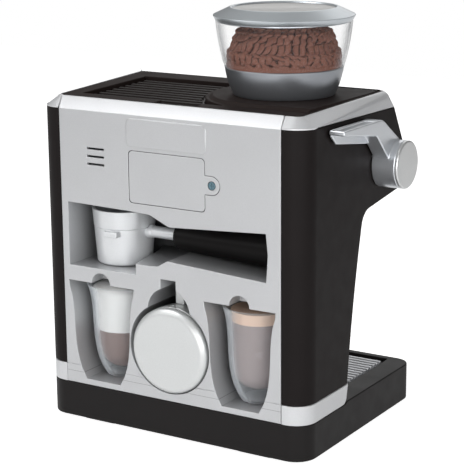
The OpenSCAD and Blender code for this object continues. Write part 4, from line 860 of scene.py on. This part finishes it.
# A coil is as long as its gap, and presses a little against the cell.
LEAST_GAP, COIL_PRESS = 0.002, 0.0012
spring_y, spring_z = ((low + high) / 2 for low, high in zip(contact_low.yz, contact_high.yz))
cells_low, cells_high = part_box("battery_cells")
coils = spring_tree()
contact_parts = [bars("contact_strips", [
    (x, spring_y - STRIP_HALF, contact_low.z, x + STRIP_T, spring_y + STRIP_HALF,
     contact_high.z) for x in (contact_low.x, contact_high.x - STRIP_T)], STRIP_EDGE)]
for side, strip_x, cell_x in ((-1, contact_low.x + STRIP_T, cells_low.x),
                              (1, contact_high.x - STRIP_T, cells_high.x)):
    coil = linked("contact_coil", bpy.data.meshes.new("contact_coil"))
    contact_parts.append(laid_out(
        coil, coils, Turns=COIL_TURNS, Foot_radius=COIL_FOOT_R, Tip_radius=COIL_TIP_R,
        Length=max(abs(strip_x) - abs(cell_x), LEAST_GAP) + COIL_PRESS, Wire_radius=WIRE_R,
        Place=(strip_x, spring_y, spring_z - side * CELL_DROP),
        Turn=(0, -side * math.pi / 2, 0), Finish=spring_steel))
contact_parts[0].data.materials.append(spring_steel)
dressed(joined("battery_contact_springs", *contact_parts), spring_steel, "contact_steel",
        "machine", "battery_contacts")


# ---------- battery door ----------
# A flat silver door lies flush in its opening, with a round tab for one captive screw.
# The zinc-plated cross-head screw sits in a counterbore.
door_silver = flaked("door_silver", PANEL_TINT, 0.36, 23, metal=0.5)
# Painted shade: its edges are painted dark, for the shade in the narrow gap round it.
tree = door_silver.node_tree
facing = parted(tree, tree.nodes.new("ShaderNodeTexCoord").outputs["Normal"])
scaled(door_silver, ramp(tree, facing["Y"], (0.5, 0.9), (GAP_SHADE_TONE, 1)))
moulding("battery_door_lid", "battery_door", 0.0003, door_silver, "silver_plastic",
         "battery_door")
door_zinc = brushed("door_zinc", swatch(104, 130, 140), 0.25, 62)
moulding("door_fixing", "door_screw", 0.00015, door_zinc, "zinc", "battery_door")


# ---------- speaker ----------
# A small loudspeaker sits behind the three slots in the back.
# Its shallow cone and the magnet behind it are both dark.
speaker_dark = moulded("speaker_dark", swatch(58, 58, 62), 0.7, 65, pore=0.0004, depth=0.00005)
moulding("loudspeaker", "speaker", 0.0002, speaker_dark, "dark_plastic")


# ---------- portafilter ----------
# A silver bowl and collar meet at a fine seam, with two lugs that lock in the brew head.
# A short neck with a flange carries the glossy black grip, which ends in a cap.
filter_silver = flaked("filter_silver", swatch(225, 227, 229), 0.32, 68, metal=0.4,
                       orange=0.0000005)
grip_black = moulded("grip_black", swatch(13, 11, 11), 0.34, 74, pore=0.0012, depth=0.00001,
                     gloss=0.12)
for name, node, edge, material, slot in (
        ("filter_bowl", "portafilter_bowl", 0.0005, filter_silver, "silver_plastic"),
        ("filter_collar", "portafilter_collar", 0.0003, filter_silver, "silver_plastic"),
        ("filter_neck", "portafilter_neck", 0.0003, filter_silver, "bright_silver"),
        ("filter_grip", "portafilter_grip", 0.0003, grip_black, "grip_black"),
        ("filter_grip_cap", "portafilter_cap", 0.0003, grip_black, "grip_black")):
    moulding(name, node, edge, material, slot, "portafilter")


# ---------- cups ----------
# Two clear play glasses flare at the rim. Each holds a glossy moulded insert:
# coffee under white foam in one, coffee under tan crema in the other.
glass_clear = clear("cup_clear", (0.9, 0.95, 1.0), 77, face=0.09, rim=0.85, turned=0.3)
for cup in ("latte", "espresso"):
    moulding(cup + "_cup_glass", cup + "_glass", 0.0004, glass_clear, "clear_plastic",
             cup + "_cup", steps=3)
# Inside a glass: radii of its foot, wall and rim, their distance to an insert, and the
# insert's draft towards its foot.
CUP_FOOT_R, CUP_R, CUP_RIM_R, CUP_INSET, CUP_DRAFT = 0.0125, 0.0218, 0.0257, 0.0019, 0.0012
# Outline points up an insert, and what keeps its ends from closing to a point.
CUP_STEPS, END_LIFT, LEAST_ROUNDING = 12, 0.0001, 0.02
# Shares of a glass's height at which coffee starts, meets its topping, and the topping ends.
LATTE_LEVELS, ESPRESSO_LEVELS = (0.06, 0.515, 0.93), (0.1, 0.845, 0.955)
LATTE_R, ESPRESSO_R, FOOT_ROUND = 0.0212, 0.0196, 0.014


def filling(name, glass, low, high, most, foot, top=()):
    """An insert that follows the glass inside, from its foot to a flat or domed top.

    low and high are shares of the glass's height, most is the insert's greatest radius, and
    foot is the height over which its foot is rounded.
    """
    corner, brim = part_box(glass)
    tall = brim.z - corner.z
    side = [(0, low * tall)]
    for i in range(CUP_STEPS + 1):
        share = low + (high - low) * i / CUP_STEPS
        wall = (CUP_FOOT_R + (CUP_R - CUP_FOOT_R) * (1 - (1 - share) ** 5)
                + (CUP_RIM_R - CUP_R) * share ** 7 - CUP_INSET)
        rounding = 1 - max(0, 1 - (share - low) * tall / foot) ** 2 if foot else 1
        radius = min(wall, most - CUP_DRAFT * (1 - share))
        side.append((radius * math.sqrt(max(rounding, LEAST_ROUNDING)),
                     share * tall + (END_LIFT if foot and i == 0 else 0)))
    side += [(side[-1][0] * across, high * tall + rise) for across, rise in top]
    side.append((0, side[-1][1] + (END_LIFT if top else 0)))
    return settled(lathe(name, (corner + brim) / 2, [(r, corner.z + z) for r, z in side], 96))


DOME_HEIGHT = 0.006
DOME = [(math.cos(math.radians(a)), DOME_HEIGHT * math.sin(math.radians(a)))
        for a in (15, 30, 45, 60, 72, 82)]
latte_brown = moulded("latte_brown", swatch(118, 86, 75), 0.25, 80, pore=0.003, depth=0.00001,
                      gloss=0.5)
foam_white = moulded("foam_white", swatch(246, 246, 244), 0.35, 83, pore=0.002, depth=0.00003,
                     mottle=0.015)
espresso_brown = moulded("espresso_brown", swatch(154, 139, 137), 0.25, 86, pore=0.003,
                         depth=0.00001, gloss=0.5)
crema_tan = moulded("crema_tan", swatch(238, 206, 182), 0.3, 89, pore=0.0025)
dressed(filling("latte_cup_coffee", "latte_glass", *LATTE_LEVELS[:2], LATTE_R, FOOT_ROUND),
        latte_brown, "coffee_brown", "latte_cup", "latte_coffee")
dressed(filling("latte_cup_foam", "latte_glass", *LATTE_LEVELS[1:], CUP_RIM_R, 0, DOME),
        foam_white, "foam_white", "latte_cup", "latte_foam")
dressed(filling("espresso_cup_coffee", "espresso_glass", *ESPRESSO_LEVELS[:2], ESPRESSO_R,
                FOOT_ROUND),
        espresso_brown, "coffee_brown", "espresso_cup", "espresso_coffee")
dressed(filling("espresso_cup_crema", "espresso_glass", *ESPRESSO_LEVELS[1:], ESPRESSO_R, 0),
        crema_tan, "crema_tan", "espresso_cup", "espresso_crema")


# ---------- milk jug ----------
# The silver jug lies in its pocket with its foot out.
# Its body, foot cap and flat strap handle have the same soft silver paint.
jug_silver = flaked("jug_silver", swatch(217, 219, 219), 0.36, 92, metal=0.55)
for name, node, edge in (("jug_shell", "jug_body", 0.0004),
                         ("jug_foot_cap", "jug_foot", 0.0003),
                         ("jug_strap", "jug_handle", 0.0007)):
    moulding(name, node, edge, jug_silver, "bright_silver", "jug")


# ---------- front panel ----------
# The sloping silver front is held between the side walls and carries the controls.
# It has the same paint as the back.
moulding("front_slope", "front_panel", 0.0004, panel_silver, "silver_plastic")


# ---------- gauge ----------
# A round play gauge looks out of the front panel.
# It has a dark silver bezel, a white face with raised marks and hand, and a clear lens.
gauge_white = moulded("gauge_white", swatch(236, 236, 234), 0.5, 95, mottle=0.01)
moulding("gauge_rim", "gauge_bezel", 0.0003, hopper_silver, "hopper_silver")
moulding("gauge_dial", "gauge_face", 0.0001, gauge_white, "gauge_white")
moulding("gauge_glass", "gauge_lens", 0.0002, jar_clear, "clear_plastic")


# ---------- dials ----------
# Two bright silver knobs turn on plain shafts through the front panel.
# Each is a low drum on a flange, with a pointer line and fine grooves round its side.
dial_silver = flaked("dial_silver", swatch(218, 219, 222), 0.3, 98, metal=0.6)
for dial in ("dose_dial", "mode_dial"):
    moulding(dial + "_knob", dial, 0.0003, dial_silver, "bright_silver", dial)


# ---------- push buttons ----------
# Three round silver buttons spring back on switches under the panel.
# They have the same paint as the dials.
for button in ("button_left", "button_middle", "button_right"):
    moulding(button + "_cap", button, 0.0003, dial_silver, "bright_silver", button)


# ---------- control board ----------
# A plain green circuit board lies under the front panel.
# It carries three switch bodies and two click rings.
board_green = moulded("board_green", swatch(38, 104, 66), 0.35, 101, pore=0.0012, mottle=0.08)
moulding("circuit_board", "control_board", 0.0001, board_green, "board_green")


# ---------- brew head ----------
# The dark silver group head hangs under the head's floor, with two entry slots for the lugs.
# A pierced steel screen closes it inside.
moulding("brew_head", "group_head", 0.0005, hopper_silver, "hopper_silver")
screen_steel = brushed("screen_steel", swatch(196, 198, 200), 0.3, 104)
moulding("brew_screen", "shower_screen", 0.00015, screen_steel, "bright_silver")


# ---------- grinder chute ----------
# A black ring hangs under the hopper's side of the head.
# It takes the portafilter's rim round a central outlet.
moulding("grinder_outlet", "grinder_chute", 0.0006, shell_black, "black_plastic")


# ---------- steam wand ----------
# A silver tube swings on a ball in a black socket under the head.
# A black sleeve is there to hold it by.
wand_silver = flaked("wand_silver", swatch(214, 216, 219), 0.31, 107, metal=0.8)
moulding("wand_ball_socket", "wand_socket", 0.0003, shell_black, "black_plastic")
moulding("wand_tube", "steam_wand", 0.00015, wand_silver, "bright_silver", "steam_wand")
moulding("wand_grip", "wand_sleeve", 0.0006, grip_black, "grip_black", "steam_wand")
